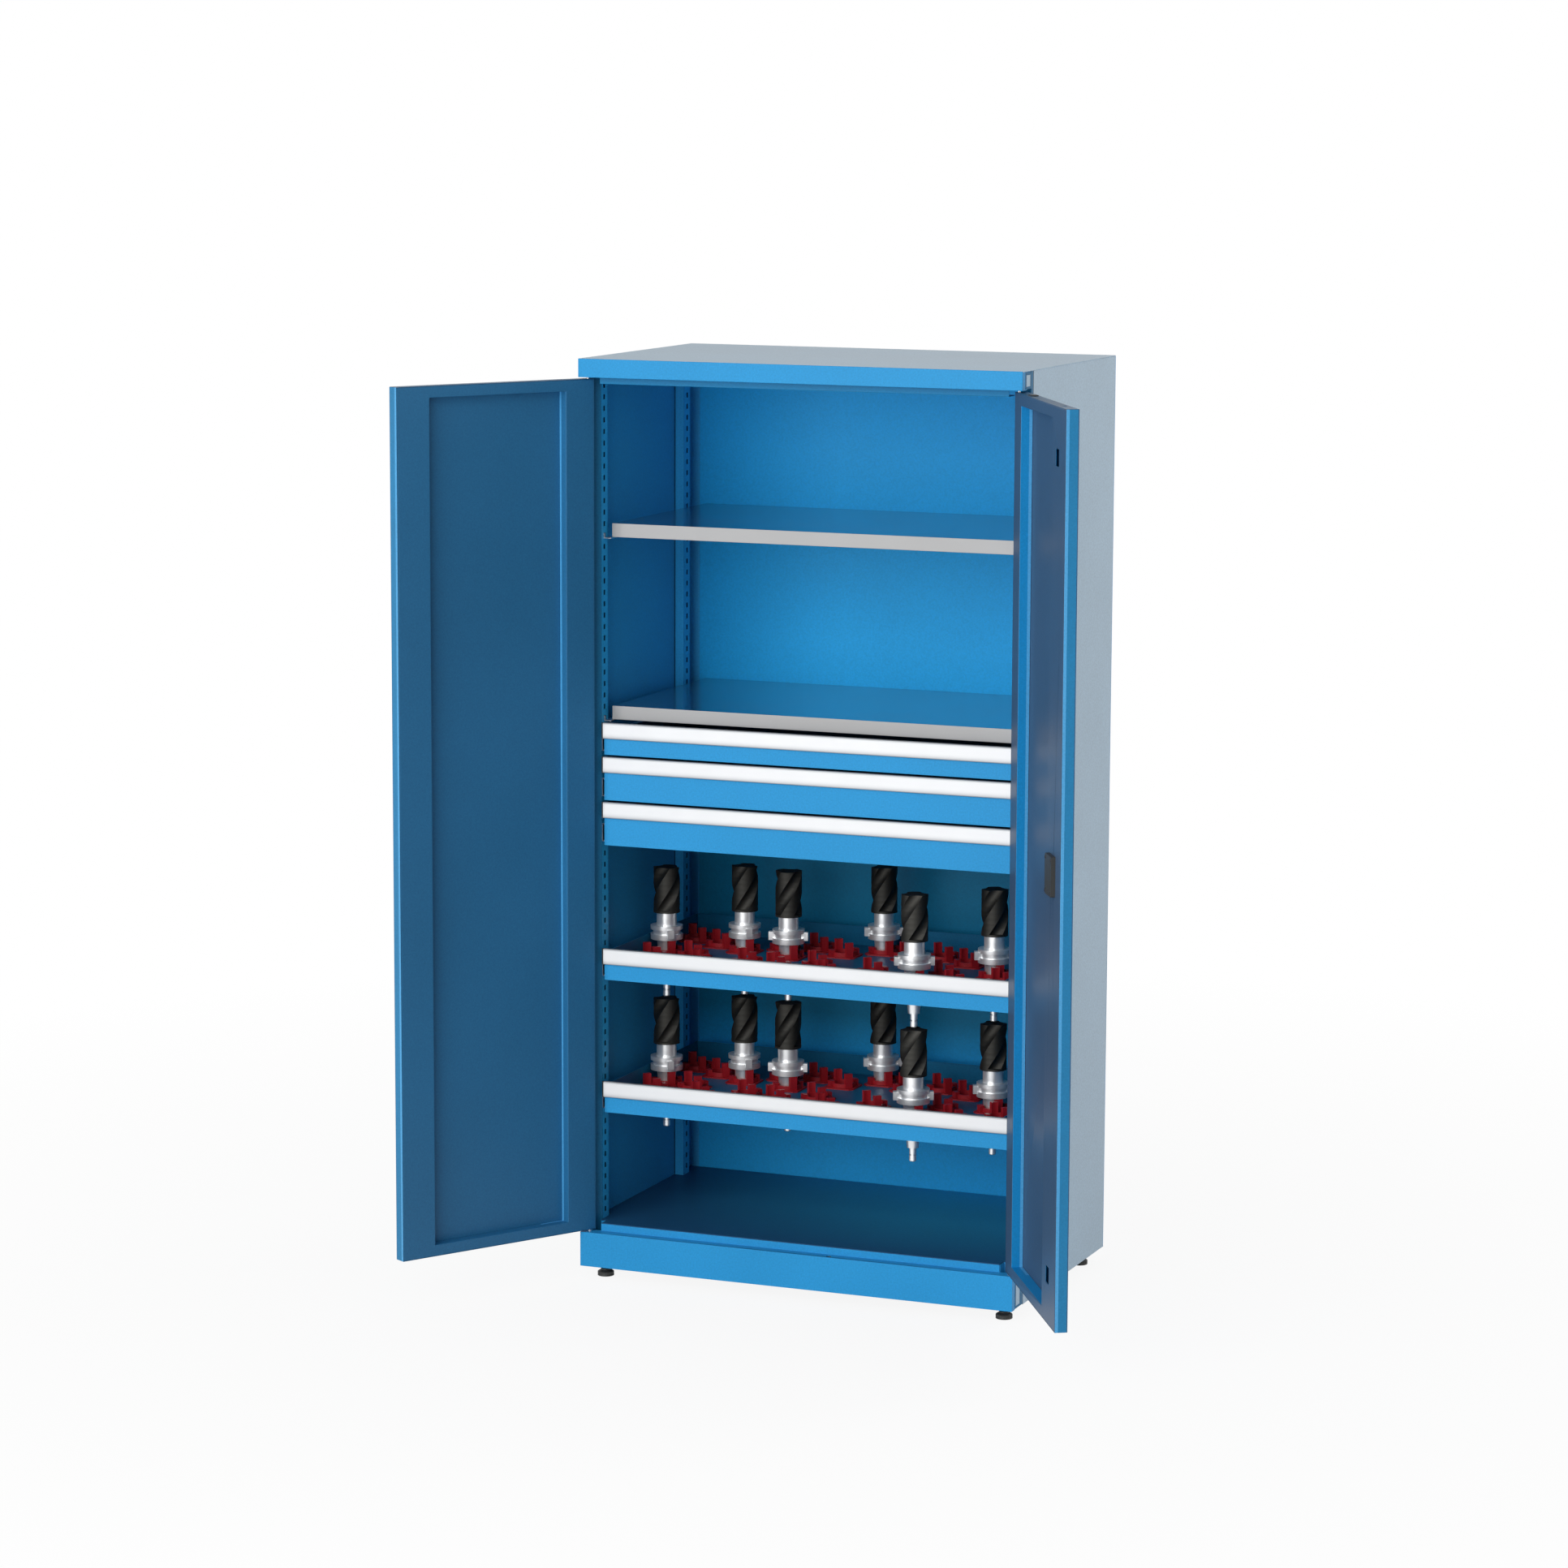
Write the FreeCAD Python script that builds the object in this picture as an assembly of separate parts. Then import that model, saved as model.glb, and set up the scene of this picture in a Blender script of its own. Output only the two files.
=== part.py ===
"""Tool cabinet with two hinged doors, three drawers and two pull-out racks for router bits.

Millimetres. X runs to the right, Y to the back and Z up. The origin is on the floor, under the
middle of the cabinet body. Doors are modelled closed and then swung to their open rest angle.
"""
import FreeCAD, Part
import math
import os

from FreeCAD import Vector

# ---------------------------------------------------------------- driving dimensions
# Body
WIDTH = 1010.0
DEPTH = 615.0
BODY_HEIGHT = 2000.0
FOOT_HEIGHT = 30.0
SHEET = 2.0
HEADER_HEIGHT = 40.0
PLINTH_HEIGHT = 77.0
STOP_SETBACK = 27.5
STOP_LIP = 15.0
FLOOR_RISE = 17.5
POST_FRONT_SETBACK = 56.0
SIDE_FRONT_SETBACK = 70.0
BACK_RETURN = 23.0
SIDE_RETURN = 8.0
TOP_FLANGE = 20.0
SEAM = 0.5
CHEEK_DEPTH = 18.0
CAP_SETBACK = 20.0
CAP_RIM = 5.0
CAP_THICKNESS = 3.0
BEARER_WIDTH = 70.0
BEARER_FRONT_REACH = 26.0

# Perforated uprights
UPRIGHT_FACE_FROM_SIDE = 25.0
UPRIGHT_FACE_SETBACK = 64.5
UPRIGHT_WIDTH = 35.0
SLOT_PITCH = 25.0
SLOT_HEIGHT = 11.0
SLOT_WIDTH = 8.0
SLOT_INSET = 16.0
FIRST_SLOT = 19.0
UPRIGHT_SHEET = 1.5
UPRIGHT_RETURN = 12.0

# Levelling feet
FOOT_PAD_DIAMETER = 37.0
FOOT_PAD_HEIGHT = 10.0
FOOT_NUT_DIAMETER = 21.0
FOOT_STUD_DIAMETER = 12.0
FOOT_STUD_THREAD = 42.0
FOOT_PAD_RIM = 6.0
FOOT_PAD_LAND = 3.0
FOOT_INSET_X = 37.0
FOOT_INSET_Y = 55.5
HOLE_CLEARANCE = 0.5

# Doors
DOOR_SHEET = 1.5
DOOR_THICKNESS = 27.0
DOOR_SIDE_MARGIN = 2.5
DOOR_CENTRE_GAP = 2.0
DOOR_TOP_GAP = 4.0
DOOR_BOTTOM_GAP = 3.0
DOOR_REST_ANGLE = 121.0
PIVOT_FROM_EDGE = 11.5
PIVOT_FROM_INNER_FACE = 6.5
PIN_DIAMETER = 6.0
PIN_RUNNING_CLEARANCE = 0.05
PIN_LENGTH_IN_DOOR = 20.0
PIN_HEAD_DIAMETER = 14.0
PIN_HEAD_HEIGHT = 3.0
BUSH_WALL = 1.7
PIN_COLLAR_DIAMETER = 11.0
PIN_THRUST_GAP = 0.3
DOOR_RAIL = 25.0
HINGE_STILE = {"left": 73.0, "right": 62.0}
LOCK_STILE = {"left": 82.0, "right": 130.5}

# Espagnolette lock of the right door
LOCK_ABOVE_DOOR_BOTTOM = 931.0
LOCK_FROM_FREE_EDGE = 79.0
LOCK_CASE_WIDTH = 62.0
LOCK_CASE_HEIGHT = 83.0
LOCK_CASE_PROUD = 9.0
LOCK_CASE_WALL = 2.0
LOCK_CASE_ROUND = 4.0
ROD_DIAMETER = 10.0
ROD_SET_DOWN = 1.0
ROD_CLEARANCE = 0.4
KEEPER_CLEARANCE = 1.0
ROD_FROM_SPINDLE = 26.0
GUIDE_WIDTH = 20.0
GUIDE_HEIGHT = 16.0
GUIDE_FROM_END = 160.0
GUIDE_FROM_SPINDLE = 90.0
WINDOW_WIDTH = 30.0
WINDOW_HEIGHT = 35.0
WINDOW_FROM_END = 102.0
ROSE_DIAMETER = 52.0
ROSE_THICKNESS = 3.0
ROSE_CHAMFER = 1.0
SPINDLE_DIAMETER = 14.0
SPINDLE_CLEARANCE = 0.4
CAM_DIAMETER = 36.0
CAM_THICKNESS = 5.0
LEVER_LENGTH = 110.0
LEVER_WIDTH = 22.0
LEVER_THICKNESS = 7.0
LEVER_LIFT = 3.0
CYLINDER_DIAMETER = 22.0
CYLINDER_PROUD = 3.0
CYLINDER_DEPTH = 20.0
CYLINDER_BELOW_HANDLE = 62.0
CYLINDER_BESIDE_ROD = 24.0
KEYWAY_WIDTH = 2.0
KEYWAY_HEIGHT = 9.0
BUFFER_BLOCK = (34.0, 14.0, 2.5)
BUFFER_FROM_HINGE = 105.0

# Shelves
SHELF_SHEET = 1.2
SHELF_THICKNESS = 30.0
SHELF_SIDE_GAP = 12.0
SHELF_FRONT_SETBACK = 94.5
SHELF_HEM = 12.0
UPPER_SHELF_SLOT = 60
LOWER_SHELF_SLOT = 44
CLIP_THICKNESS = 2.0
CLIP_TONGUE = 4.5
CLIP_DEPTH = 38.0
CLIP_OVERLAP = 5.0
CLIP_DROP = 5.0
CLIP_SIDE_CLEARANCE = 1.0
SHELF_BACK_GAP = 0.5

# Drawers and racks: name, top of the front above the floor sheet, height of the front
DRAWER_FRONTS = (
    ("top_drawer", 1111.5, 71.0),
    ("middle_drawer", 1036.5, 96.0),
    ("bottom_drawer", 936.5, 96.0),
)
RACK_FRONTS = (("upper_rack", 611.0, 70.0), ("lower_rack", 313.5, 70.0))
FRONT_SETBACK = 57.5
FRONT_SIDE_GAP = 9.0
FRONT_SHEET = 1.5
FRONT_RETURN = 4.0
HANDLE_HEIGHT = 35.0
HANDLE_PROUD = 7.0
HANDLE_TOP_LIP = 2.0
HANDLE_ROUND = 2.5
GRIP_DEPTH = 29.0
GRIP_WIDTH = 3.2
HANDLE_BACK_WALL = 1.5
END_CAP = 4.0
TRAY_SHEET = 1.2
TRAY_SIDE_GAP = 22.0
TRAY_BACK_GAP = 67.5
TRAY_LIFT = 5.0
TRAY_DROP = 21.0
RACK_LIFT = 1.0

# Telescopic slides
SLIDE_SHEET = 1.5
SLIDE_HEIGHT = 40.0
SLIDE_LIFT = 27.0
SLIDE_GAP = 0.5
OUTER_DEPTH = 10.0
MIDDLE_WEB_GAP = 12.0
MIDDLE_OUTER_REACH = 8.0
MIDDLE_INNER_REACH = 7.0
INNER_DEPTH = 8.0
SLIDE_BACK_GAP = 61.5
MIDDLE_SHORTER = 15.0
SLIDE_FRONT_SETBACK = 66.5

# Tool holders and their inserts
TAPER_TOP_DIAMETER = 44.5
TAPER_TIP_DIAMETER = 26.0
TAPER_LENGTH = 100.0
FLANGE_DIAMETER = 72.0
FLANGE_GROOVE_DIAMETER = 61.0
FLANGE_LOWER = 12.0
FLANGE_GROOVE = 10.0
FLANGE_UPPER = 9.0
KEY_WIDTH = 14.0
KEY_REACH = 44.0
KEY_MARGIN = 6.0
NECK_DIAMETER = 45.0
NECK_LENGTH = 29.0
CUTTER_DIAMETER = 59.0
CUTTER_CORE_DIAMETER = 42.0
CUTTER_LENGTH = 102.0
CUTTER_COLLAR = 5.0
CUTTER_FLUTES = 3
CUTTER_LAND = 0.5
CUTTER_TWIST = 120.0
CUTTER_STEPS = 8
STUD_DIAMETER = 16.0
STUD_LENGTH = 31.0
STUD_GROOVE_DIAMETER = 11.0
STUD_GROOVE = 3.0
STUD_KNOB_HEIGHT = 14.0
STUD_CHAMFER = 2.0
FLANGE_BELOW_FRONT_TOP = 10.5
INSERT_SIZE = 70.0
INSERT_FLANGE = 3.0
INSERT_CORNER = 8.0
INSERT_WALL = 5.0
INSERT_TUBE_LENGTH = 22.0
INSERT_BORE_CLEARANCE = 3.5
INSERT_HORN_HEIGHT = 32.0
INSERT_HORN_WIDTH = 16.0
INSERT_HORN_OUTER = 34.0
INSERT_HORN_SETBACK = 1.0
INSERT_COLLAR = 9.0
INSERT_STUB = 14.0
# Bearing and height of each horn
INSERT_HORNS = (
    (135, INSERT_HORN_HEIGHT),
    (-45, INSERT_HORN_HEIGHT),
    (45, INSERT_STUB),
    (-135, INSERT_STUB),
)
PLATE_SHEET = 2.0
PLATE_HOLE_CLEARANCE = 0.4
CARRIER_PITCH = 297.0
CARRIER_SITES = ((-42, 96), (-45, -57), (98, -88), (105, 118), (-119, 140), (13, -150))
OUTER_CORNER_SITE = (-120, -115)
CARRIERS_WITH_CORNER_SITE = (-1, 0)
# Place of each tool and the bearing of its drive keys
TOOLS = (
    (-417, -32, -54),
    (-264, 54, -54),
    (-147, 26, 15),
    (29, 160, 205),
    (214, -140, 205),
    (352, -12, 205),
)

# ---------------------------------------------------------------- derived planes
FRONT = -DEPTH / 2
BACK = DEPTH / 2
SIDE = WIDTH / 2
BASE = FOOT_HEIGHT
TOP = FOOT_HEIGHT + BODY_HEIGHT
HEADER_BOTTOM = TOP - HEADER_HEIGHT
PLINTH_TOP = BASE + PLINTH_HEIGHT
FLOOR_TOP = PLINTH_TOP + FLOOR_RISE
STOP_FACE = FRONT + STOP_SETBACK
POST_FRONT = FRONT + POST_FRONT_SETBACK
SIDE_FRONT = FRONT + SIDE_FRONT_SETBACK
UPRIGHT_FRONT = FRONT + UPRIGHT_FACE_SETBACK
INSIDE_BACK = BACK - SHEET
INSIDE_SIDE = SIDE - SHEET
REAR_UPRIGHT_BACK = -UPRIGHT_FRONT
SLOT_Y = UPRIGHT_FRONT + SLOT_INSET
DOOR_OUTER = FRONT
DOOR_INNER = FRONT + DOOR_THICKNESS
DOOR_BOTTOM = PLINTH_TOP + DOOR_BOTTOM_GAP
DOOR_TOP = HEADER_BOTTOM - DOOR_TOP_GAP
HINGE_EDGE = SIDE - DOOR_SIDE_MARGIN
FREE_EDGE = DOOR_CENTRE_GAP / 2
PIVOT_X = HINGE_EDGE - PIVOT_FROM_EDGE
PIVOT_Y = DOOR_INNER - PIVOT_FROM_INNER_FACE
STOP_HALF_WIDTH = PIVOT_X - PIVOT_FROM_EDGE - DOOR_THICKNESS / 2
LOCK_X = FREE_EDGE + LOCK_FROM_FREE_EDGE
LOCK_HEIGHT = DOOR_BOTTOM + LOCK_ABOVE_DOOR_BOTTOM
ROD_Y = (DOOR_OUTER + DOOR_INNER) / 2
CYLINDER_Z = LOCK_HEIGHT - CYLINDER_BELOW_HANDLE
CYLINDER_X = LOCK_X + CYLINDER_BESIDE_ROD
FRONT_PLANE = FRONT + FRONT_SETBACK
SLIDE_FRONT = FRONT + SLIDE_FRONT_SETBACK
FIRST_SLOT_Z = FLOOR_TOP + FIRST_SLOT
CAP_FRONT = FRONT + CAP_SETBACK
ROOF_UNDERSIDE = TOP - SHEET
UPRIGHT_FACE_X = SIDE - UPRIGHT_FACE_FROM_SIDE
SHELF_HALF_WIDTH = UPRIGHT_FACE_X - SHELF_SIDE_GAP
FRONT_HALF_WIDTH = UPRIGHT_FACE_X - FRONT_SIDE_GAP
TRAY_HALF_WIDTH = UPRIGHT_FACE_X - TRAY_SIDE_GAP
MIDDLE_WEB_X = UPRIGHT_FACE_X - MIDDLE_WEB_GAP
TRAY_LENGTH = INSIDE_BACK - TRAY_BACK_GAP - FRONT_PLANE - FRONT_SHEET
OUTER_LENGTH = INSIDE_BACK - SLIDE_BACK_GAP - SLIDE_FRONT
MIDDLE_LENGTH = OUTER_LENGTH - MIDDLE_SHORTER
DRAWERS = tuple((name, FLOOR_TOP + rise, height) for name, rise, height in DRAWER_FRONTS)
RACKS = tuple((name, FLOOR_TOP + rise, height) for name, rise, height in RACK_FRONTS)
UNITS = DRAWERS + RACKS
NECK_BASE = FLANGE_LOWER + FLANGE_GROOVE + FLANGE_UPPER
INSERT_BORE_DIAMETER = TAPER_TOP_DIAMETER + INSERT_BORE_CLEARANCE
INSERT_TUBE_DIAMETER = INSERT_BORE_DIAMETER + 2 * INSERT_WALL


# ---------------------------------------------------------------- shape helpers
def block(x0, x1, y0, y1, z0, z1):
    """Box between two corners."""
    return Part.makeBox(x1 - x0, y1 - y0, z1 - z0, Vector(x0, y0, z0))


def upright_bar(diameter, x, y, z0, z1):
    """Round bar along Z."""
    return Part.makeCylinder(diameter / 2, z1 - z0, Vector(x, y, z0), Vector(0, 0, 1))


def cross_bar(diameter, x, z, y0, y1):
    """Round bar along Y."""
    return Part.makeCylinder(diameter / 2, y1 - y0, Vector(x, y0, z), Vector(0, 1, 0))


def mirrored(shape):
    """The same shape on the other side of the cabinet."""
    return shape.mirror(Vector(0, 0, 0), Vector(1, 0, 0))


def both_sides(shape):
    """A right-hand shape and its left-hand twin."""
    return [mirrored(shape), shape]


def fused(shapes):
    """One solid from touching shapes, with merged faces."""
    return shapes[0].fuse(shapes[1:]).removeSplitter()


def bent_outline(path, thickness):
    """Closed outline of a bent sheet that lies to the right of path."""
    normals = []
    for (ax, ay), (bx, by) in zip(path, path[1:]):
        length = math.hypot(bx - ax, by - ay)
        normals.append(((by - ay) / length, (ax - bx) / length))
    far_side = []
    for (x, y), (ax, ay), (bx, by) in zip(path, normals[:1] + normals, normals + normals[-1:]):
        mitre = thickness / (1 + ax * bx + ay * by)
        far_side.append((x + (ax + bx) * mitre, y + (ay + by) * mitre))
    return list(path) + far_side[::-1]


def extruded(outline, axis, start, end):
    """Prism from a closed outline: (y, z) points along X, (x, z) along Y or (x, y) along Z."""
    place = {
        "x": lambda a, b: Vector(start, a, b),
        "y": lambda a, b: Vector(a, start, b),
        "z": lambda a, b: Vector(a, b, start),
    }[axis]
    points = [place(a, b) for a, b in outline]
    run = {"x": Vector(1, 0, 0), "y": Vector(0, 1, 0), "z": Vector(0, 0, 1)}[axis]
    return Part.Face(Part.makePolygon(points + points[:1])).extrude(run * (end - start))


def bent_sheet(path, thickness, axis, start, end):
    """Sheet folded along path and extruded."""
    return extruded(bent_outline(path, thickness), axis, start, end)


def turned(profile, centre_x, centre_y, base_z):
    """Solid of revolution about a vertical axis from (radius, height) points."""
    points = [Vector(centre_x + r, centre_y, base_z + h) for r, h in profile]
    face = Part.Face(Part.makePolygon(points + points[:1]))
    return face.revolve(Vector(centre_x, centre_y, 0), Vector(0, 0, 1), 360)


def set_at(shape, x, y, bearing):
    """Turn a shape made at the origin to a bearing and move it to its place."""
    shape.rotate(Vector(0, 0, 0), Vector(0, 0, 1), bearing)
    shape.translate(Vector(x, y, 0))
    return shape


def save(name, shapes):
    """Write one part file from one solid or from a group of separate solids."""
    solids = [solid for shape in shapes for solid in shape.Solids]
    shape = solids[0] if len(solids) == 1 else Part.makeCompound(solids)
    if not shape.isValid():
        raise RuntimeError(f"{name} is not a valid shape")
    shape.exportStep(f"parts/{name}.step")


# ---------------------------------------------------------------- cabinet body
def side_panel():
    """Right side: outer skin with a narrow front return and a wide back return."""
    path = (
        (SIDE - BACK_RETURN, INSIDE_BACK),
        (SIDE, INSIDE_BACK),
        (SIDE, SIDE_FRONT),
        (SIDE - SIDE_RETURN, SIDE_FRONT),
    )
    return bent_sheet(path, SHEET, "z", BASE, ROOF_UNDERSIDE)


def back_panel():
    """Flat back, flush with the side panels' outer faces."""
    return block(-SIDE, SIDE, INSIDE_BACK, BACK, BASE, ROOF_UNDERSIDE)


def top_panel():
    """Roof sheet with flanges that drop inside the side panels."""
    roof = block(-SIDE, SIDE, FRONT + SHEET, BACK, ROOF_UNDERSIDE, TOP)
    flange = block(
        INSIDE_SIDE - SHEET, INSIDE_SIDE,
        SIDE_FRONT + TOP_FLANGE, INSIDE_BACK - SHEET - SEAM,
        ROOF_UNDERSIDE - TOP_FLANGE, ROOF_UNDERSIDE,
    )
    return fused([roof] + both_sides(flange))


def pivot_hole(z0, z1):
    """Cutter for one pivot pin."""
    return upright_bar(PIN_DIAMETER + 2 * PIN_RUNNING_CLEARANCE, PIVOT_X, PIVOT_Y, z0, z1)


def door_holes(z0, z1):
    """Cutters for the two pivot pins and the lock rod through a horizontal sheet."""
    keeper = upright_bar(ROD_DIAMETER + 2 * KEEPER_CLEARANCE, LOCK_X, ROD_Y, z0, z1)
    return both_sides(pivot_hole(z0, z1)) + [keeper]


def header():
    """Front cross member at the top: face, soffit and the lip that the doors close against."""
    soffit = HEADER_BOTTOM + SHEET
    lip_bottom = HEADER_BOTTOM - STOP_LIP
    face = block(-SIDE, SIDE, FRONT, FRONT + SHEET, HEADER_BOTTOM, TOP)
    under_roof = block(
        -INSIDE_SIDE, INSIDE_SIDE, FRONT + SHEET, POST_FRONT, ROOF_UNDERSIDE - SHEET, ROOF_UNDERSIDE
    )
    sill = block(-SIDE, SIDE, FRONT + SHEET, STOP_FACE + SHEET, HEADER_BOTTOM, soffit)
    cheek = block(INSIDE_SIDE, SIDE, FRONT + SHEET, FRONT + CHEEK_DEPTH, soffit, ROOF_UNDERSIDE)
    lip = block(-STOP_HALF_WIDTH, STOP_HALF_WIDTH, STOP_FACE, STOP_FACE + SHEET, lip_bottom, HEADER_BOTTOM)
    tail = block(
        -STOP_HALF_WIDTH, STOP_HALF_WIDTH,
        STOP_FACE + SHEET, UPRIGHT_FRONT,
        lip_bottom, lip_bottom + SHEET,
    )
    body = fused([face, under_roof, sill, lip, tail] + both_sides(cheek))
    return body.cut(door_holes(HEADER_BOTTOM - SHEET, soffit + SHEET))


def plinth():
    """Front cross member at the floor: kick face, ledge and the riser up to the floor sheet."""
    ledge = PLINTH_TOP - SHEET
    face = block(-SIDE, SIDE, FRONT, FRONT + SHEET, BASE, PLINTH_TOP)
    foot_return = block(-INSIDE_SIDE, INSIDE_SIDE, FRONT + SHEET, STOP_FACE, BASE, BASE + SHEET)
    sill = block(-SIDE, SIDE, FRONT + SHEET, STOP_FACE + SHEET, ledge, PLINTH_TOP)
    cheek = block(INSIDE_SIDE, SIDE, FRONT + SHEET, FRONT + CHEEK_DEPTH, BASE, ledge)
    riser = block(
        -STOP_HALF_WIDTH, STOP_HALF_WIDTH, STOP_FACE, STOP_FACE + SHEET, PLINTH_TOP, FLOOR_TOP - SHEET
    )
    body = fused([face, foot_return, sill, riser] + both_sides(cheek))
    return body.cut(door_holes(ledge - SHEET, PLINTH_TOP + SHEET))


def member_end_caps():
    """Dished covers that close the ends of the header and the plinth behind their cheeks."""
    caps = []
    for z0, z1 in ((HEADER_BOTTOM + SHEET, ROOF_UNDERSIDE - SHEET), (BASE + SHEET, PLINTH_TOP - SHEET)):
        cover = block(INSIDE_SIDE - CAP_THICKNESS, SIDE, CAP_FRONT, POST_FRONT, z0, z1)
        dish = block(
            SIDE - SHEET / 2, SIDE,
            CAP_FRONT + CAP_RIM, POST_FRONT - CAP_RIM,
            z0 + CAP_RIM, z1 - CAP_RIM,
        )
        caps += both_sides(cover.cut(dish))
    return caps


def foot_places():
    """Centres of the four feet."""
    return [(sx * (SIDE - FOOT_INSET_X), sy * (BACK - FOOT_INSET_Y)) for sx in (-1, 1) for sy in (-1, 1)]


def floor_panel():
    """Floor sheet, notched for the front uprights, with a low bearer at each side for the feet."""
    under = FLOOR_TOP - SHEET
    behind_posts = UPRIGHT_FRONT + UPRIGHT_WIDTH
    inside_back = INSIDE_BACK - SHEET
    lip = block(-STOP_HALF_WIDTH, STOP_HALF_WIDTH, STOP_FACE, POST_FRONT, under, FLOOR_TOP)
    between_posts = block(-UPRIGHT_FACE_X, UPRIGHT_FACE_X, POST_FRONT, behind_posts, under, FLOOR_TOP)
    sheet = block(-INSIDE_SIDE, INSIDE_SIDE, behind_posts, inside_back, under, FLOOR_TOP)
    bearer_x1 = SIDE - SIDE_RETURN - SEAM
    bearer_x0 = bearer_x1 - BEARER_WIDTH
    bearer_y0 = POST_FRONT - BEARER_FRONT_REACH
    web = block(bearer_x0, bearer_x0 + SHEET, POST_FRONT, inside_back, BASE, under)
    bearer = block(bearer_x0, bearer_x1, bearer_y0, inside_back, BASE, BASE + SHEET)
    body = fused([lip, between_posts, sheet] + both_sides(web) + both_sides(bearer))
    drills = [
        upright_bar(FOOT_STUD_DIAMETER + HOLE_CLEARANCE, x, y, BASE - SHEET, BASE + 2 * SHEET)
        for x, y in foot_places()
    ]
    return body.cut(drills)


def foot_pads():
    """Four moulded pads with a sloped shoulder."""
    radius, land = FOOT_PAD_DIAMETER / 2, FOOT_NUT_DIAMETER / 2 + FOOT_PAD_LAND
    profile = (
        (0, 0), (radius, 0), (radius, FOOT_PAD_RIM), (land, FOOT_PAD_HEIGHT), (0, FOOT_PAD_HEIGHT),
    )
    return [turned(profile, x, y, 0) for x, y in foot_places()]


def foot_studs():
    """Four levelling studs, each with its adjusting collar below the bearer."""
    stud, collar = FOOT_STUD_DIAMETER / 2, FOOT_NUT_DIAMETER / 2
    profile = (
        (0, FOOT_PAD_HEIGHT), (collar, FOOT_PAD_HEIGHT), (collar, FOOT_HEIGHT), (stud, FOOT_HEIGHT),
        (stud, FOOT_HEIGHT + FOOT_STUD_THREAD), (0, FOOT_HEIGHT + FOOT_STUD_THREAD),
    )
    return [turned(profile, x, y, 0) for x, y in foot_places()]


def slot_height(index):
    """Centre height of one slot, counted from the floor."""
    return FIRST_SLOT_Z + index * SLOT_PITCH


def slotted(upright, slot_y):
    """Cut the slot column through the face of an upright."""
    count = int((ROOF_UNDERSIDE - TOP_FLANGE - FIRST_SLOT - FIRST_SLOT_Z) / SLOT_PITCH) + 1
    cutters = [
        block(
            UPRIGHT_FACE_X - UPRIGHT_SHEET, UPRIGHT_FACE_X + 2 * UPRIGHT_SHEET,
            slot_y - SLOT_WIDTH / 2, slot_y + SLOT_WIDTH / 2,
            slot_height(i) - SLOT_HEIGHT / 2, slot_height(i) + SLOT_HEIGHT / 2,
        )
        for i in range(count)
    ]
    return upright.cut(cutters)


def front_upright():
    """Right front post: outer strip, front face, splayed corner, slotted face and back return."""
    path = (
        (SIDE, SIDE_FRONT - SEAM),
        (SIDE, POST_FRONT),
        (SIDE - UPRIGHT_RETURN, POST_FRONT),
        (UPRIGHT_FACE_X, UPRIGHT_FRONT),
        (UPRIGHT_FACE_X, UPRIGHT_FRONT + UPRIGHT_WIDTH),
        (UPRIGHT_FACE_X + UPRIGHT_RETURN, UPRIGHT_FRONT + UPRIGHT_WIDTH),
    )
    return slotted(bent_sheet(path, UPRIGHT_SHEET, "z", BASE + SHEET, ROOF_UNDERSIDE), SLOT_Y)


def rear_upright():
    """Right rear post: a channel that opens towards the side panel."""
    outer_x = INSIDE_SIDE - SHEET - SEAM
    path = (
        (outer_x, REAR_UPRIGHT_BACK - UPRIGHT_WIDTH),
        (UPRIGHT_FACE_X, REAR_UPRIGHT_BACK - UPRIGHT_WIDTH),
        (UPRIGHT_FACE_X, REAR_UPRIGHT_BACK),
        (outer_x, REAR_UPRIGHT_BACK),
    )
    return slotted(bent_sheet(path, UPRIGHT_SHEET, "z", FLOOR_TOP, ROOF_UNDERSIDE), -SLOT_Y)


def hinge_pins():
    """Four fixed pivot pins: headed ones in the header, headed ones with a thrust collar in the plinth."""
    shank, head = PIN_DIAMETER / 2, PIN_HEAD_DIAMETER / 2
    upper = (
        (0, DOOR_TOP - PIN_LENGTH_IN_DOOR), (shank, DOOR_TOP - PIN_LENGTH_IN_DOOR),
        (shank, HEADER_BOTTOM + SHEET), (head, HEADER_BOTTOM + SHEET),
        (head, HEADER_BOTTOM + SHEET + PIN_HEAD_HEIGHT), (0, HEADER_BOTTOM + SHEET + PIN_HEAD_HEIGHT),
    )
    collar = PIN_COLLAR_DIAMETER / 2
    under_ledge = PLINTH_TOP - SHEET
    lower = (
        (0, under_ledge - PIN_HEAD_HEIGHT), (head, under_ledge - PIN_HEAD_HEIGHT),
        (head, under_ledge), (shank, under_ledge),
        (shank, PLINTH_TOP), (collar, PLINTH_TOP),
        (collar, DOOR_BOTTOM - PIN_THRUST_GAP), (shank, DOOR_BOTTOM - PIN_THRUST_GAP),
        (shank, DOOR_BOTTOM + PIN_LENGTH_IN_DOOR), (0, DOOR_BOTTOM + PIN_LENGTH_IN_DOOR),
    )
    pins = []
    for profile in (upper, lower):
        pins += both_sides(turned(profile, PIVOT_X, PIVOT_Y, 0))
    return pins


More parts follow.
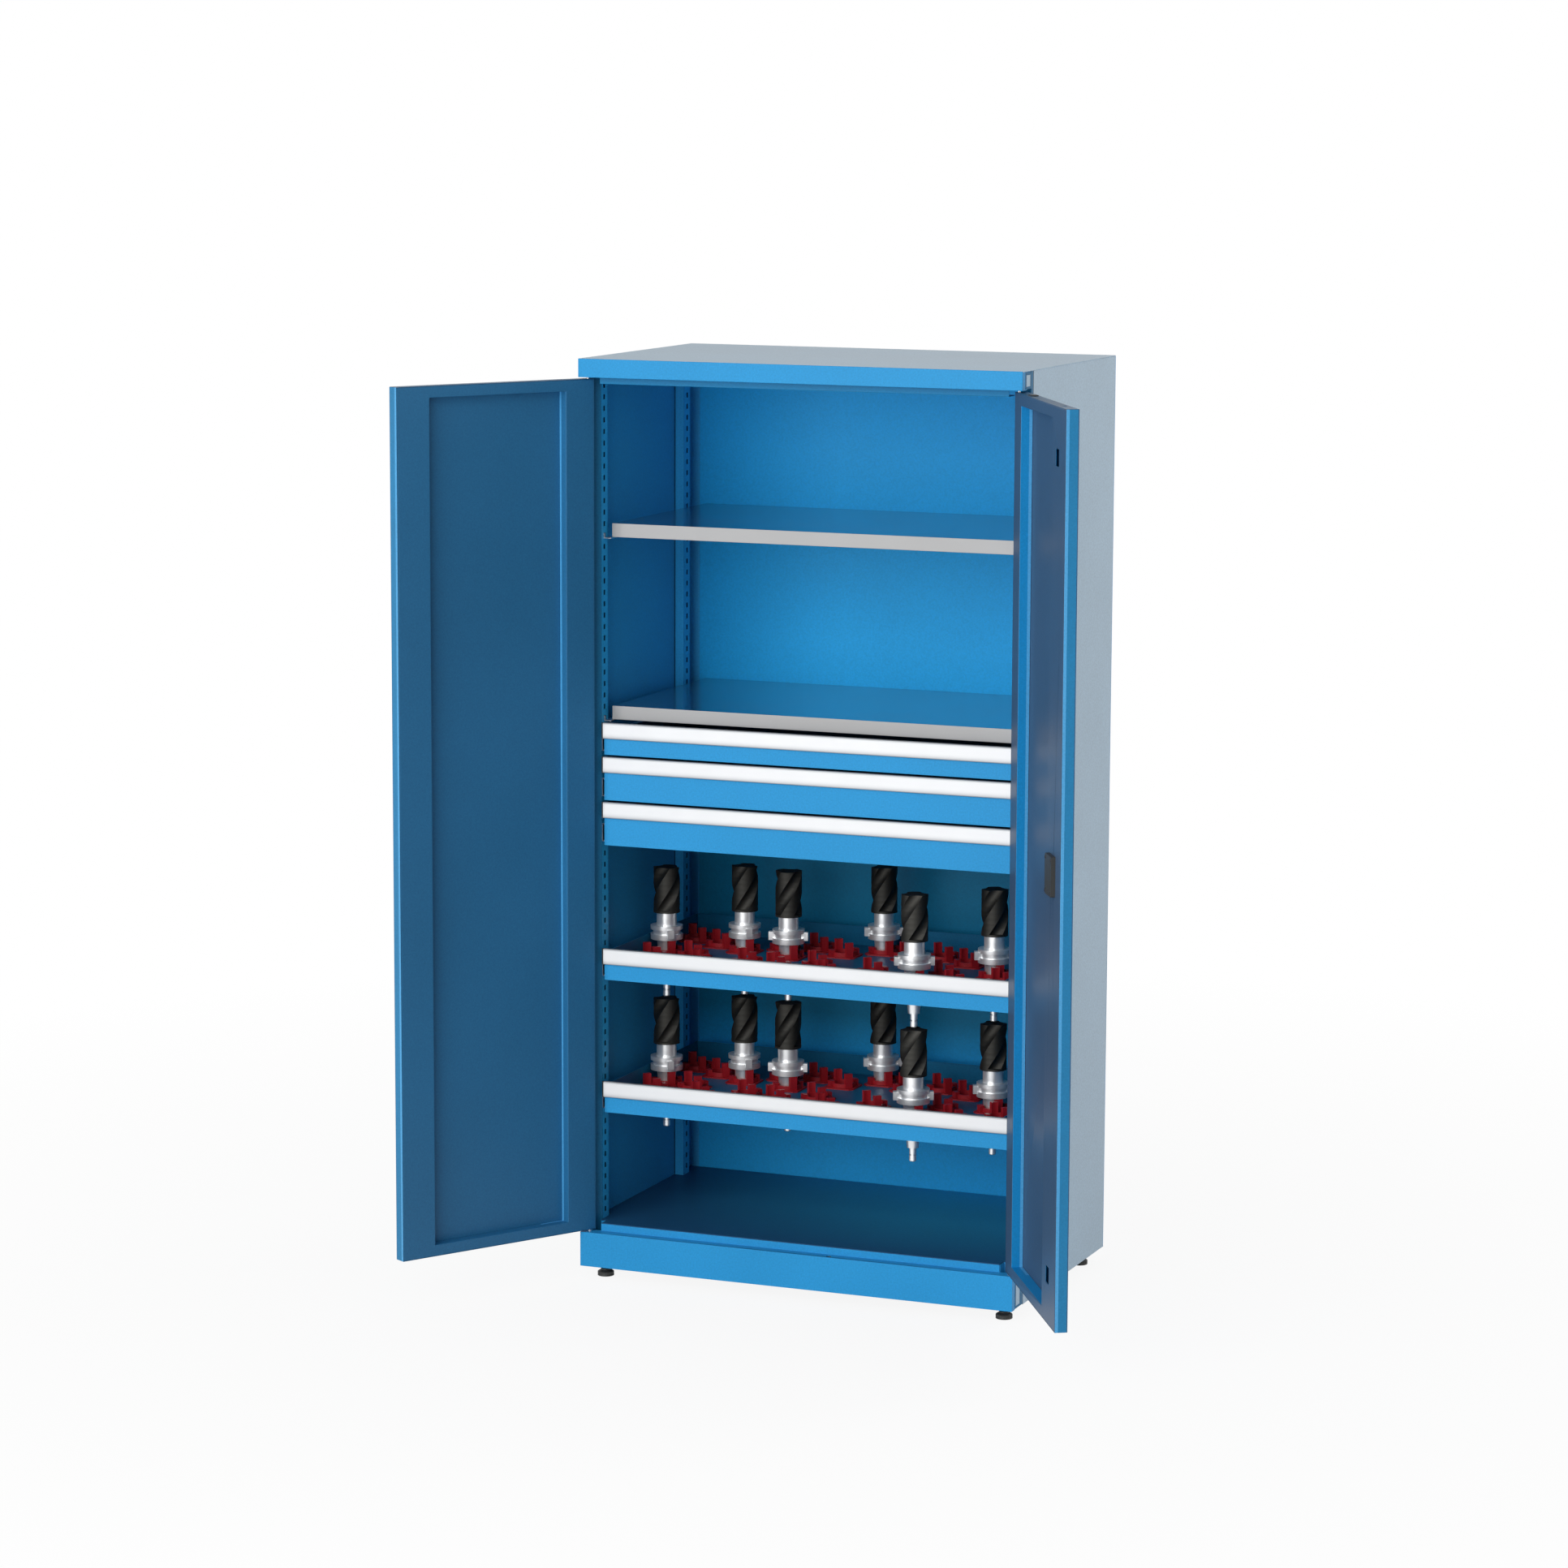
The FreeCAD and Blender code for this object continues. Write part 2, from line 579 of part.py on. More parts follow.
# ---------------------------------------------------------------- shelves
def shelf(bottom):
    """Pressed shelf: deck, turned-down edges all round and a hem under the front and back."""
    front, back, top = FRONT + SHELF_FRONT_SETBACK, INSIDE_BACK - SHELF_BACK_GAP, bottom + SHELF_THICKNESS
    outer = block(-SHELF_HALF_WIDTH, SHELF_HALF_WIDTH, front, back, bottom, top)
    under = block(
        -SHELF_HALF_WIDTH + SHELF_SHEET, SHELF_HALF_WIDTH - SHELF_SHEET,
        front + SHELF_SHEET, back - SHELF_SHEET,
        bottom + SHELF_SHEET, top - SHELF_SHEET,
    )
    mouth = block(
        -SHELF_HALF_WIDTH + SHELF_SHEET, SHELF_HALF_WIDTH - SHELF_SHEET,
        front + SHELF_HEM, back - SHELF_HEM,
        bottom, bottom + SHELF_SHEET,
    )
    return outer.cut([under, mouth])


def shelf_bottom(slot):
    """Underside of a shelf whose clips hook into the given slot."""
    return slot_height(slot) - CLIP_DROP


def shelf_clips():
    """Eight clips: a ledge under the shelf, a web on the upright and a tongue through its slot."""
    clips = []
    for slot in (UPPER_SHELF_SLOT, LOWER_SHELF_SLOT):
        z = slot_height(slot)
        ledge_top = shelf_bottom(slot)
        tongue_half = SLOT_WIDTH / 2 - CLIP_SIDE_CLEARANCE
        tongue_top = z + SLOT_HEIGHT / 2 - CLIP_SIDE_CLEARANCE
        for slot_y, inward in ((SLOT_Y, 1), (-SLOT_Y, -1)):
            y0, y1 = sorted((slot_y - inward * tongue_half, slot_y + inward * CLIP_DEPTH))
            ledge = block(
                SHELF_HALF_WIDTH - CLIP_OVERLAP, UPRIGHT_FACE_X,
                y0, y1,
                ledge_top - CLIP_THICKNESS, ledge_top,
            )
            web = block(
                UPRIGHT_FACE_X - CLIP_THICKNESS, UPRIGHT_FACE_X,
                slot_y - tongue_half, slot_y + tongue_half,
                ledge_top, tongue_top,
            )
            tongue = block(
                UPRIGHT_FACE_X, UPRIGHT_FACE_X + CLIP_TONGUE,
                slot_y - tongue_half, slot_y + tongue_half,
                tongue_top - CLIP_TONGUE, tongue_top,
            )
            clips += both_sides(fused([ledge, web, tongue]))
    return clips


# ---------------------------------------------------------------- doors
def swung(shape):
    """Turn a piece of the closed right door to its open rest angle."""
    return shape.rotated(Vector(PIVOT_X, PIVOT_Y, 0), Vector(0, 0, 1), DOOR_REST_ANGLE)


def on_door(side, shapes):
    """Place pieces of a closed right-hand door on the given side, open."""
    opened = [swung(shape) for shape in shapes]
    return opened if side == "right" else [mirrored(shape) for shape in opened]


def door_skin(side):
    """Outer face of the door with its four turned edges."""
    outer = block(FREE_EDGE, HINGE_EDGE, DOOR_OUTER, DOOR_INNER, DOOR_BOTTOM, DOOR_TOP)
    hollow = block(
        FREE_EDGE + DOOR_SHEET, HINGE_EDGE - DOOR_SHEET,
        DOOR_OUTER + DOOR_SHEET, DOOR_INNER,
        DOOR_BOTTOM + DOOR_SHEET, DOOR_TOP - DOOR_SHEET,
    )
    z0, z1 = DOOR_BOTTOM - DOOR_SHEET, DOOR_TOP + DOOR_SHEET
    y0, y1 = DOOR_OUTER - DOOR_SHEET, DOOR_OUTER + 2 * DOOR_SHEET
    cutters = [hollow, pivot_hole(z0, z1)]
    if side == "right":
        cutters += [
            upright_bar(ROD_DIAMETER + 2 * ROD_CLEARANCE, LOCK_X, ROD_Y, z0, z1),
            spindle_hole(y0, y1),
            cross_bar(CYLINDER_DIAMETER, CYLINDER_X, CYLINDER_Z, y0, y1),
        ]
    return outer.cut(cutters)


def spindle_hole(y0, y1):
    """Cutter for the handle spindle."""
    return cross_bar(SPINDLE_DIAMETER + 2 * SPINDLE_CLEARANCE, LOCK_X, LOCK_HEIGHT, y0, y1)


def door_frame(side):
    """Box-section frame inside the skin: stiles and rails on the inner face and the panel's side walls."""
    panel_x0, panel_x1 = FREE_EDGE + LOCK_STILE[side], HINGE_EDGE - HINGE_STILE[side]
    panel_z0, panel_z1 = DOOR_BOTTOM + DOOR_RAIL, DOOR_TOP - DOOR_RAIL
    inner_y = DOOR_INNER - DOOR_SHEET
    face = block(
        FREE_EDGE + DOOR_SHEET, HINGE_EDGE - DOOR_SHEET,
        inner_y, DOOR_INNER,
        DOOR_BOTTOM + DOOR_SHEET, DOOR_TOP - DOOR_SHEET,
    )
    walls = block(
        panel_x0 - DOOR_SHEET, panel_x1 + DOOR_SHEET,
        DOOR_OUTER + DOOR_SHEET, inner_y,
        panel_z0 - DOOR_SHEET, panel_z1 + DOOR_SHEET,
    )
    opening = block(panel_x0, panel_x1, DOOR_OUTER + DOOR_SHEET, DOOR_INNER, panel_z0, panel_z1)
    cutters = [opening]
    if side == "right":
        cutters.append(spindle_hole(inner_y - DOOR_SHEET, DOOR_INNER + DOOR_SHEET))
        cutters += [
            block(
                LOCK_X - WINDOW_WIDTH / 2, LOCK_X + WINDOW_WIDTH / 2,
                inner_y, DOOR_INNER,
                z - WINDOW_HEIGHT / 2, z + WINDOW_HEIGHT / 2,
            )
            for z in (DOOR_BOTTOM + WINDOW_FROM_END, DOOR_TOP - WINDOW_FROM_END)
        ]
    return fused([face, walls]).cut(cutters)


def door_bushes():
    """Two pivot bushes fixed under the door's top edge and over its bottom edge."""
    bore = PIN_DIAMETER / 2 + PIN_RUNNING_CLEARANCE
    length = PIN_LENGTH_IN_DOOR - DOOR_SHEET
    profile = ((bore, 0), (bore + BUSH_WALL, 0), (bore + BUSH_WALL, length), (bore, length))
    bases = (DOOR_BOTTOM + DOOR_SHEET, DOOR_TOP - DOOR_SHEET - length)
    return [turned(profile, PIVOT_X, PIVOT_Y, z) for z in bases]


# ---------------------------------------------------------------- lock of the right door
def lock_case():
    """Cover over the gearbox on the inner face, open towards the door."""
    x0, x1 = LOCK_X - LOCK_CASE_WIDTH / 2, LOCK_X + LOCK_CASE_WIDTH / 2
    z0, z1 = LOCK_HEIGHT - LOCK_CASE_HEIGHT / 2, LOCK_HEIGHT + LOCK_CASE_HEIGHT / 2
    wall = LOCK_CASE_WALL
    outer = block(x0, x1, DOOR_INNER, DOOR_INNER + LOCK_CASE_PROUD, z0, z1)
    outer = outer.makeFillet(LOCK_CASE_ROUND, [e for e in outer.Edges if abs(e.tangentAt(0).y) > 0.9])
    y1 = DOOR_INNER + LOCK_CASE_PROUD - wall
    inner = block(x0 + wall, x1 - wall, DOOR_INNER, y1, z0 + wall, z1 - wall)
    return outer.cut(inner)


def lock_rose():
    """Round plate on the outer face that carries the handle."""
    face = DOOR_OUTER - ROSE_THICKNESS
    disc = cross_bar(ROSE_DIAMETER, LOCK_X, LOCK_HEIGHT, face, DOOR_OUTER)
    disc = disc.makeChamfer(ROSE_CHAMFER, [e for e in disc.Edges if e.BoundBox.YMax < face + ROSE_CHAMFER])
    return disc.cut(spindle_hole(face, DOOR_OUTER))


def lock_handle():
    """Lever, hub, spindle and the cam that drives the rods; the lever points to the hinge when unlocked."""
    hub_face = DOOR_OUTER - ROSE_THICKNESS - SPINDLE_CLEARANCE
    lever_y0, lever_y1 = hub_face - LEVER_LIFT - LEVER_THICKNESS, hub_face - LEVER_LIFT
    half = LEVER_WIDTH / 2
    hub = cross_bar(LEVER_WIDTH, LOCK_X, LOCK_HEIGHT, lever_y0, hub_face)
    end_x = LOCK_X + LEVER_LENGTH
    lever = block(LOCK_X, end_x, lever_y0, lever_y1, LOCK_HEIGHT - half, LOCK_HEIGHT + half)
    tip = cross_bar(LEVER_WIDTH, end_x, LOCK_HEIGHT, lever_y0, lever_y1)
    spindle_end = DOOR_INNER + LOCK_CASE_PROUD - LOCK_CASE_WALL - HOLE_CLEARANCE
    spindle = cross_bar(SPINDLE_DIAMETER, LOCK_X, LOCK_HEIGHT, hub_face, spindle_end)
    cam_y = ROD_Y - CAM_THICKNESS / 2
    cam = cross_bar(CAM_DIAMETER, LOCK_X, LOCK_HEIGHT, cam_y, cam_y + CAM_THICKNESS)
    return fused([hub, lever, tip, spindle, cam])


def lock_cylinder():
    """Key cylinder below the handle and beside the rod, with its keyway."""
    outer_y, inner_y = DOOR_OUTER - CYLINDER_PROUD, DOOR_OUTER + CYLINDER_DEPTH
    barrel = cross_bar(CYLINDER_DIAMETER, CYLINDER_X, CYLINDER_Z, outer_y, inner_y)
    keyway = block(
        CYLINDER_X - KEYWAY_WIDTH / 2, CYLINDER_X + KEYWAY_WIDTH / 2,
        outer_y, outer_y + CYLINDER_PROUD,
        CYLINDER_Z - KEYWAY_HEIGHT / 2, CYLINDER_Z + KEYWAY_HEIGHT / 2,
    )
    return barrel.cut(keyway)


def lock_rod(lower_end, upper_end):
    """Locking rod between the gearbox and one end of the door."""
    return upright_bar(ROD_DIAMETER, LOCK_X, ROD_Y, lower_end, upper_end)


def rod_guides():
    """Four guide blocks between the skin and the lock stile."""
    z_places = (
        DOOR_BOTTOM + GUIDE_FROM_END,
        LOCK_HEIGHT - GUIDE_FROM_SPINDLE,
        LOCK_HEIGHT + GUIDE_FROM_SPINDLE,
        DOOR_TOP - GUIDE_FROM_END,
    )
    half_width, half_height = GUIDE_WIDTH / 2, GUIDE_HEIGHT / 2
    bore = ROD_DIAMETER + 2 * ROD_CLEARANCE
    return [
        block(
            LOCK_X - half_width, LOCK_X + half_width,
            DOOR_OUTER + DOOR_SHEET, DOOR_INNER - DOOR_SHEET,
            z - half_height, z + half_height,
        ).cut(upright_bar(bore, LOCK_X, ROD_Y, z - half_height, z + half_height))
        for z in z_places
    ]


def door_top_buffer():
    """Low buffer block on the top edge of the door."""
    length, width, height = BUFFER_BLOCK
    x1 = HINGE_EDGE - BUFFER_FROM_HINGE
    return block(x1 - length, x1, ROD_Y - width / 2, ROD_Y + width / 2, DOOR_TOP, DOOR_TOP + height)


# ---------------------------------------------------------------- telescopic slides
def slide_height(top, height):
    """Centre height of the slides of a unit."""
    return top - height + SLIDE_LIFT


def outer_slide(z):
    """Right fixed member: a channel screwed to the uprights."""
    half = SLIDE_HEIGHT / 2
    path = (
        (UPRIGHT_FACE_X - OUTER_DEPTH, z - half),
        (UPRIGHT_FACE_X, z - half),
        (UPRIGHT_FACE_X, z + half),
        (UPRIGHT_FACE_X - OUTER_DEPTH, z + half),
    )
    return bent_sheet(path[::-1], SLIDE_SHEET, "y", SLIDE_FRONT, SLIDE_FRONT + OUTER_LENGTH)


def middle_slide(z):
    """Right travelling member: a web with flanges both ways, nested in the outer and round the inner one."""
    half = SLIDE_HEIGHT / 2 - SLIDE_SHEET - SLIDE_GAP
    y0, y1 = SLIDE_FRONT, SLIDE_FRONT + MIDDLE_LENGTH
    web = block(MIDDLE_WEB_X, MIDDLE_WEB_X + SLIDE_SHEET, y0, y1, z - half, z + half)
    x0, x1 = MIDDLE_WEB_X - MIDDLE_INNER_REACH, MIDDLE_WEB_X + MIDDLE_OUTER_REACH
    upper = block(x0, x1, y0, y1, z + half - SLIDE_SHEET, z + half)
    lower = block(x0, x1, y0, y1, z - half, z - half + SLIDE_SHEET)
    return fused([web, upper, lower])


def inner_slide(z):
    """Right inner member: a channel riveted to the side of the tray."""
    half = SLIDE_HEIGHT / 2 - 2 * SLIDE_SHEET - 2 * SLIDE_GAP
    path = (
        (TRAY_HALF_WIDTH + INNER_DEPTH, z - half),
        (TRAY_HALF_WIDTH, z - half),
        (TRAY_HALF_WIDTH, z + half),
        (TRAY_HALF_WIDTH + INNER_DEPTH, z + half),
    )
    return bent_sheet(path, SLIDE_SHEET, "y", SLIDE_FRONT, SLIDE_FRONT + MIDDLE_LENGTH)


# ---------------------------------------------------------------- drawers and racks
def front_panel(top, height):
    """Painted front below and behind the handle, with short side and bottom returns."""
    y0, y1, z0, z1 = FRONT_PLANE, FRONT_PLANE + FRONT_SHEET, top - height, top - HANDLE_TOP_LIP
    plate = block(-FRONT_HALF_WIDTH, FRONT_HALF_WIDTH, y0, y1, z0, z1)
    hem = block(-FRONT_HALF_WIDTH, FRONT_HALF_WIDTH, y1, y1 + FRONT_RETURN, z0, z0 + FRONT_SHEET)
    side = block(FRONT_HALF_WIDTH - FRONT_SHEET, FRONT_HALF_WIDTH, y1, y1 + FRONT_RETURN, z0, z1)
    return fused([plate, hem] + both_sides(side))


def handle_profile(top):
    """Full-width pull: rounded front, a lip over the front panel and a finger groove from below."""
    x0, x1 = -FRONT_HALF_WIDTH, FRONT_HALF_WIDTH
    y0, y1, z0 = FRONT_PLANE - HANDLE_PROUD, FRONT_PLANE, top - HANDLE_HEIGHT
    bar = block(x0, x1, y0, y1, z0, top)
    long_front_edges = [e for e in bar.Edges if e.BoundBox.YMax < y1 and e.BoundBox.XLength > END_CAP]
    bar = bar.makeFillet(HANDLE_ROUND, long_front_edges)
    lip = block(x0, x1, y1, y1 + FRONT_SHEET, top - HANDLE_TOP_LIP, top)
    grip_y = y1 - HANDLE_BACK_WALL
    groove = block(x0, x1, grip_y - GRIP_WIDTH, grip_y, z0, z0 + GRIP_DEPTH)
    return fused([bar, lip]).cut(groove)


def end_caps(top):
    """Moulded caps on both ends of a handle."""
    z0 = top - HANDLE_HEIGHT
    cap = block(
        FRONT_HALF_WIDTH, FRONT_HALF_WIDTH + END_CAP,
        FRONT_PLANE - HANDLE_PROUD, FRONT_PLANE + FRONT_SHEET,
        z0, top,
    )
    outer_x = FRONT_HALF_WIDTH + END_CAP / 2
    outer_edges = [e for e in cap.Edges if e.BoundBox.XMin > outer_x and e.BoundBox.YMax < FRONT_PLANE]
    return both_sides(cap.makeFillet(HANDLE_ROUND, outer_edges))


def tray(top, height):
    """Open box of a drawer behind its front panel."""
    y0 = FRONT_PLANE + FRONT_SHEET
    z0 = top - height + TRAY_LIFT
    outer = block(-TRAY_HALF_WIDTH, TRAY_HALF_WIDTH, y0, y0 + TRAY_LENGTH, z0, top - TRAY_DROP)
    inner = block(
        -TRAY_HALF_WIDTH + TRAY_SHEET, TRAY_HALF_WIDTH - TRAY_SHEET,
        y0 + TRAY_SHEET, y0 + TRAY_LENGTH - TRAY_SHEET,
        z0 + TRAY_SHEET, top - TRAY_DROP,
    )
    return outer.cut(inner)


def flange_height(top):
    """Height at which the tool flanges rest on their inserts."""
    return top - FLANGE_BELOW_FRONT_TOP


def free_sites():
    """Insert places that hold no tool."""
    sites = []
    for carrier in (-1, 0, 1):
        offsets = CARRIER_SITES + ((OUTER_CORNER_SITE,) if carrier in CARRIERS_WITH_CORNER_SITE else ())
        sites += [(carrier * CARRIER_PITCH + dx, dy) for dx, dy in offsets]
    return sites


def insert_sites():
    """All insert places, tools first."""
    return [(x, y) for x, y, bearing in TOOLS] + free_sites()


def rack_frame(top, height):
    """Rack box: front, sides and back round a plate with one hole for each insert."""
    y0 = FRONT_PLANE
    back = FRONT_PLANE + FRONT_SHEET + TRAY_LENGTH
    z0, z1 = top - height + RACK_LIFT, top - HANDLE_TOP_LIP
    half = TRAY_HALF_WIDTH
    outer = block(-half, half, y0 + FRONT_SHEET, back, z0, z1)
    inside = (-half + FRONT_SHEET, half - FRONT_SHEET, y0 + 2 * FRONT_SHEET, back - FRONT_SHEET)
    plate_top = flange_height(top) - INSERT_HORN_HEIGHT - INSERT_FLANGE
    above = block(*inside, plate_top, z1)
    below = block(*inside, z0, plate_top - PLATE_SHEET)
    hole = INSERT_TUBE_DIAMETER + 2 * PLATE_HOLE_CLEARANCE
    drills = [
        upright_bar(hole, x, y, plate_top - 2 * PLATE_SHEET, plate_top + PLATE_SHEET)
        for x, y in insert_sites()
    ]
    return outer.cut([above, below] + drills)


def tool_insert(x, y, top):
    """Moulded insert: square flange, tube through the plate, collar, two tall horns and two low ones."""
    z_top = flange_height(top) - INSERT_HORN_HEIGHT
    z_plate = z_top - INSERT_FLANGE
    half = INSERT_SIZE / 2
    flange = block(x - half, x + half, y - half, y + half, z_plate, z_top)
    flange = flange.makeChamfer(INSERT_CORNER, [e for e in flange.Edges if abs(e.tangentAt(0).z) > 0.9])
    z_bottom = z_plate - INSERT_TUBE_LENGTH
    tube = upright_bar(INSERT_TUBE_DIAMETER, x, y, z_bottom, z_top + INSERT_COLLAR)
    half_horn = INSERT_HORN_WIDTH / 2
    horns = []
    for bearing, rise in INSERT_HORNS:
        horn = block(0, INSERT_HORN_OUTER, -half_horn, half_horn, z_top, z_top + rise)
        horns.append(set_at(horn, x, y, bearing))
    z_collar, z_horn = z_top + INSERT_COLLAR, z_top + INSERT_HORN_HEIGHT
    bore = upright_bar(INSERT_BORE_DIAMETER, x, y, z_bottom, z_collar)
    between_horns = upright_bar(INSERT_BORE_DIAMETER + 2 * INSERT_HORN_SETBACK, x, y, z_collar, z_horn)
    return fused([flange, tube] + horns).cut([bore, between_horns])


def tool_holder(x, y, bearing, top):
    """Taper holder: taper, grooved flange with two drive keys, and the neck for the cutter."""
    z = flange_height(top)
    flange, groove, neck = FLANGE_DIAMETER / 2, FLANGE_GROOVE_DIAMETER / 2, NECK_DIAMETER / 2
    groove_top, neck_top = FLANGE_LOWER + FLANGE_GROOVE, NECK_BASE + NECK_LENGTH
    profile = (
        (0, -TAPER_LENGTH), (TAPER_TIP_DIAMETER / 2, -TAPER_LENGTH),
        (TAPER_TOP_DIAMETER / 2, 0), (flange, 0),
        (flange, FLANGE_LOWER), (groove, FLANGE_LOWER),
        (groove, groove_top), (flange, groove_top),
        (flange, NECK_BASE), (neck, NECK_BASE),
        (neck, neck_top), (0, neck_top),
    )
    z0, z1 = z + KEY_MARGIN, z + NECK_BASE - KEY_MARGIN
    keys = block(-KEY_REACH, KEY_REACH, -KEY_WIDTH / 2, KEY_WIDTH / 2, z0, z1)
    return fused([turned(profile, x, y, z), set_at(keys, x, y, bearing)])


def pull_stud(x, y, top):
    """Retention stud screwed into the small end of the taper."""
    shaft, groove = STUD_DIAMETER / 2, STUD_GROOVE_DIAMETER / 2
    shaft_foot = STUD_KNOB_HEIGHT + STUD_GROOVE
    profile = (
        (0, 0), (shaft - STUD_CHAMFER, 0), (shaft, STUD_CHAMFER), (shaft, STUD_KNOB_HEIGHT),
        (groove, STUD_KNOB_HEIGHT), (groove, shaft_foot), (shaft, shaft_foot),
        (shaft, STUD_LENGTH), (0, STUD_LENGTH),
    )
    return turned(profile, x, y, flange_height(top) - TAPER_LENGTH - STUD_LENGTH)


def cutter_section(x, y, z, turn):
    """Closed outline of the cutter at one height: round lands with hollow flutes between them."""
    edges = []
    step = 360 / CUTTER_FLUTES
    for k in range(CUTTER_FLUTES):
        corners = []
        for share, radius in (
            (0, CUTTER_DIAMETER), (CUTTER_LAND / 2, CUTTER_DIAMETER), (CUTTER_LAND, CUTTER_DIAMETER),
            ((1 + CUTTER_LAND) / 2, CUTTER_CORE_DIAMETER), (1, CUTTER_DIAMETER),
        ):
            angle = math.radians(turn + (k + share) * step)
            corners.append(Vector(x + radius / 2 * math.cos(angle), y + radius / 2 * math.sin(angle), z))
        edges.append(Part.Arc(corners[0], corners[1], corners[2]).toShape())
        edges.append(Part.Arc(corners[2], corners[3], corners[4]).toShape())
    return Part.Wire(edges)


def cutter(x, y, bearing, top):
    """Router bit: a round collar and a body with helical flutes."""
    base = flange_height(top) + NECK_BASE + NECK_LENGTH
    collar = Part.makeCylinder(CUTTER_DIAMETER / 2, CUTTER_COLLAR, Vector(x, y, base))
    fluted = CUTTER_LENGTH - CUTTER_COLLAR
    sections = [
        cutter_section(
            x, y, base + CUTTER_COLLAR + fluted * i / CUTTER_STEPS, bearing + CUTTER_TWIST * i / CUTTER_STEPS
        )
        for i in range(CUTTER_STEPS + 1)
    ]
    return collar.fuse(Part.makeLoft(sections, True, True))


# ---------------------------------------------------------------- assembly
def save_cabinet():
    """Write every piece of the fixed body."""
    for side, place in (("left", mirrored), ("right", lambda shape: shape)):
        save(f"{side}_side_panel", [place(side_panel())])
    save("back_panel", [back_panel()])
    save("top_panel", [top_panel()])
    save("header", [header()])
    save("plinth", [plinth()])
    save("floor_panel", [floor_panel()])
    save("front_uprights", both_sides(front_upright()))
    save("rear_uprights", both_sides(rear_upright()))
    save("member_end_caps", member_end_caps())
    save("foot_pads", foot_pads())
    save("foot_studs", foot_studs())
    save("hinge_pins", hinge_pins())
    save("upper_shelf", [shelf(shelf_bottom(UPPER_SHELF_SLOT))])
    save("lower_shelf", [shelf(shelf_bottom(LOWER_SHELF_SLOT))])
    save("shelf_clips", shelf_clips())
    rails = []
    for name, top, height in UNITS:
        rails += both_sides(outer_slide(slide_height(top, height)))
    save("fixed_slide_rails", rails)


def save_doors():
    """Write both doors and the lock of the right one."""
    for side in ("left", "right"):
        save(f"{side}_door_skin", on_door(side, [door_skin(side)]))
        save(f"{side}_door_frame", on_door(side, [door_frame(side)]))
        save(f"{side}_hinge_bushes", on_door(side, door_bushes()))
    lock = {
        "lock_case": [lock_case()],
        "lock_rose": [lock_rose()],
        "lock_handle": [lock_handle()],
        "lock_cylinder": [lock_cylinder()],
        "upper_lock_rod": [lock_rod(LOCK_HEIGHT + ROD_FROM_SPINDLE, DOOR_TOP - ROD_SET_DOWN)],
        "lower_lock_rod": [lock_rod(DOOR_BOTTOM + ROD_SET_DOWN, LOCK_HEIGHT - ROD_FROM_SPINDLE)],
        "rod_guides": rod_guides(),
        "door_top_buffer": [door_top_buffer()],
    }
    for name, pieces in lock.items():
        save(name, on_door("right", pieces))


def save_unit(name, top):
    """Write what drawers and racks share."""
    save(f"{name}_handle", [handle_profile(top)])
    save(f"{name}_handle_caps", end_caps(top))


def save_drawers():
    """Write the three drawers."""
    for name, top, height in DRAWERS:
        z = slide_height(top, height)
        save(f"{name}_tray", [tray(top, height)] + both_sides(inner_slide(z)))
        save(f"{name}_front", [front_panel(top, height)])
        save(f"{name}_middle_slides", both_sides(middle_slide(z)))
        save_unit(name, top)


def save_racks():
    """Write the two racks with their inserts and tools."""
    for name, top, height in RACKS:
        z = slide_height(top, height)
        frame = fused([rack_frame(top, height), front_panel(top, height)])
        save(f"{name}_frame", [frame] + both_sides(inner_slide(z)))
        save(f"{name}_middle_slides", both_sides(middle_slide(z)))
        save(f"{name}_inserts", [tool_insert(x, y, top) for x, y in insert_sites()])
        holders = [tool_holder(x, y, bearing, top) for x, y, bearing in TOOLS]
        save(f"{name}_tool_holders", holders + [pull_stud(x, y, top) for x, y, bearing in TOOLS])
        save(f"{name}_cutters", [cutter(x, y, bearing, top) for x, y, bearing in TOOLS])
        save_unit(name, top)


os.makedirs("parts", exist_ok=True)
save_cabinet()
save_doors()
save_drawers()
save_racks()
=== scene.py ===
"""Looks of a two-door tool cabinet: its finishes, its small fixings, the light and the camera.

Metres, in the frame of the CAD model: X to the right, Y to the back, Z up, origin on the floor.
"""
import math

import bpy
from mathutils import Matrix, Vector


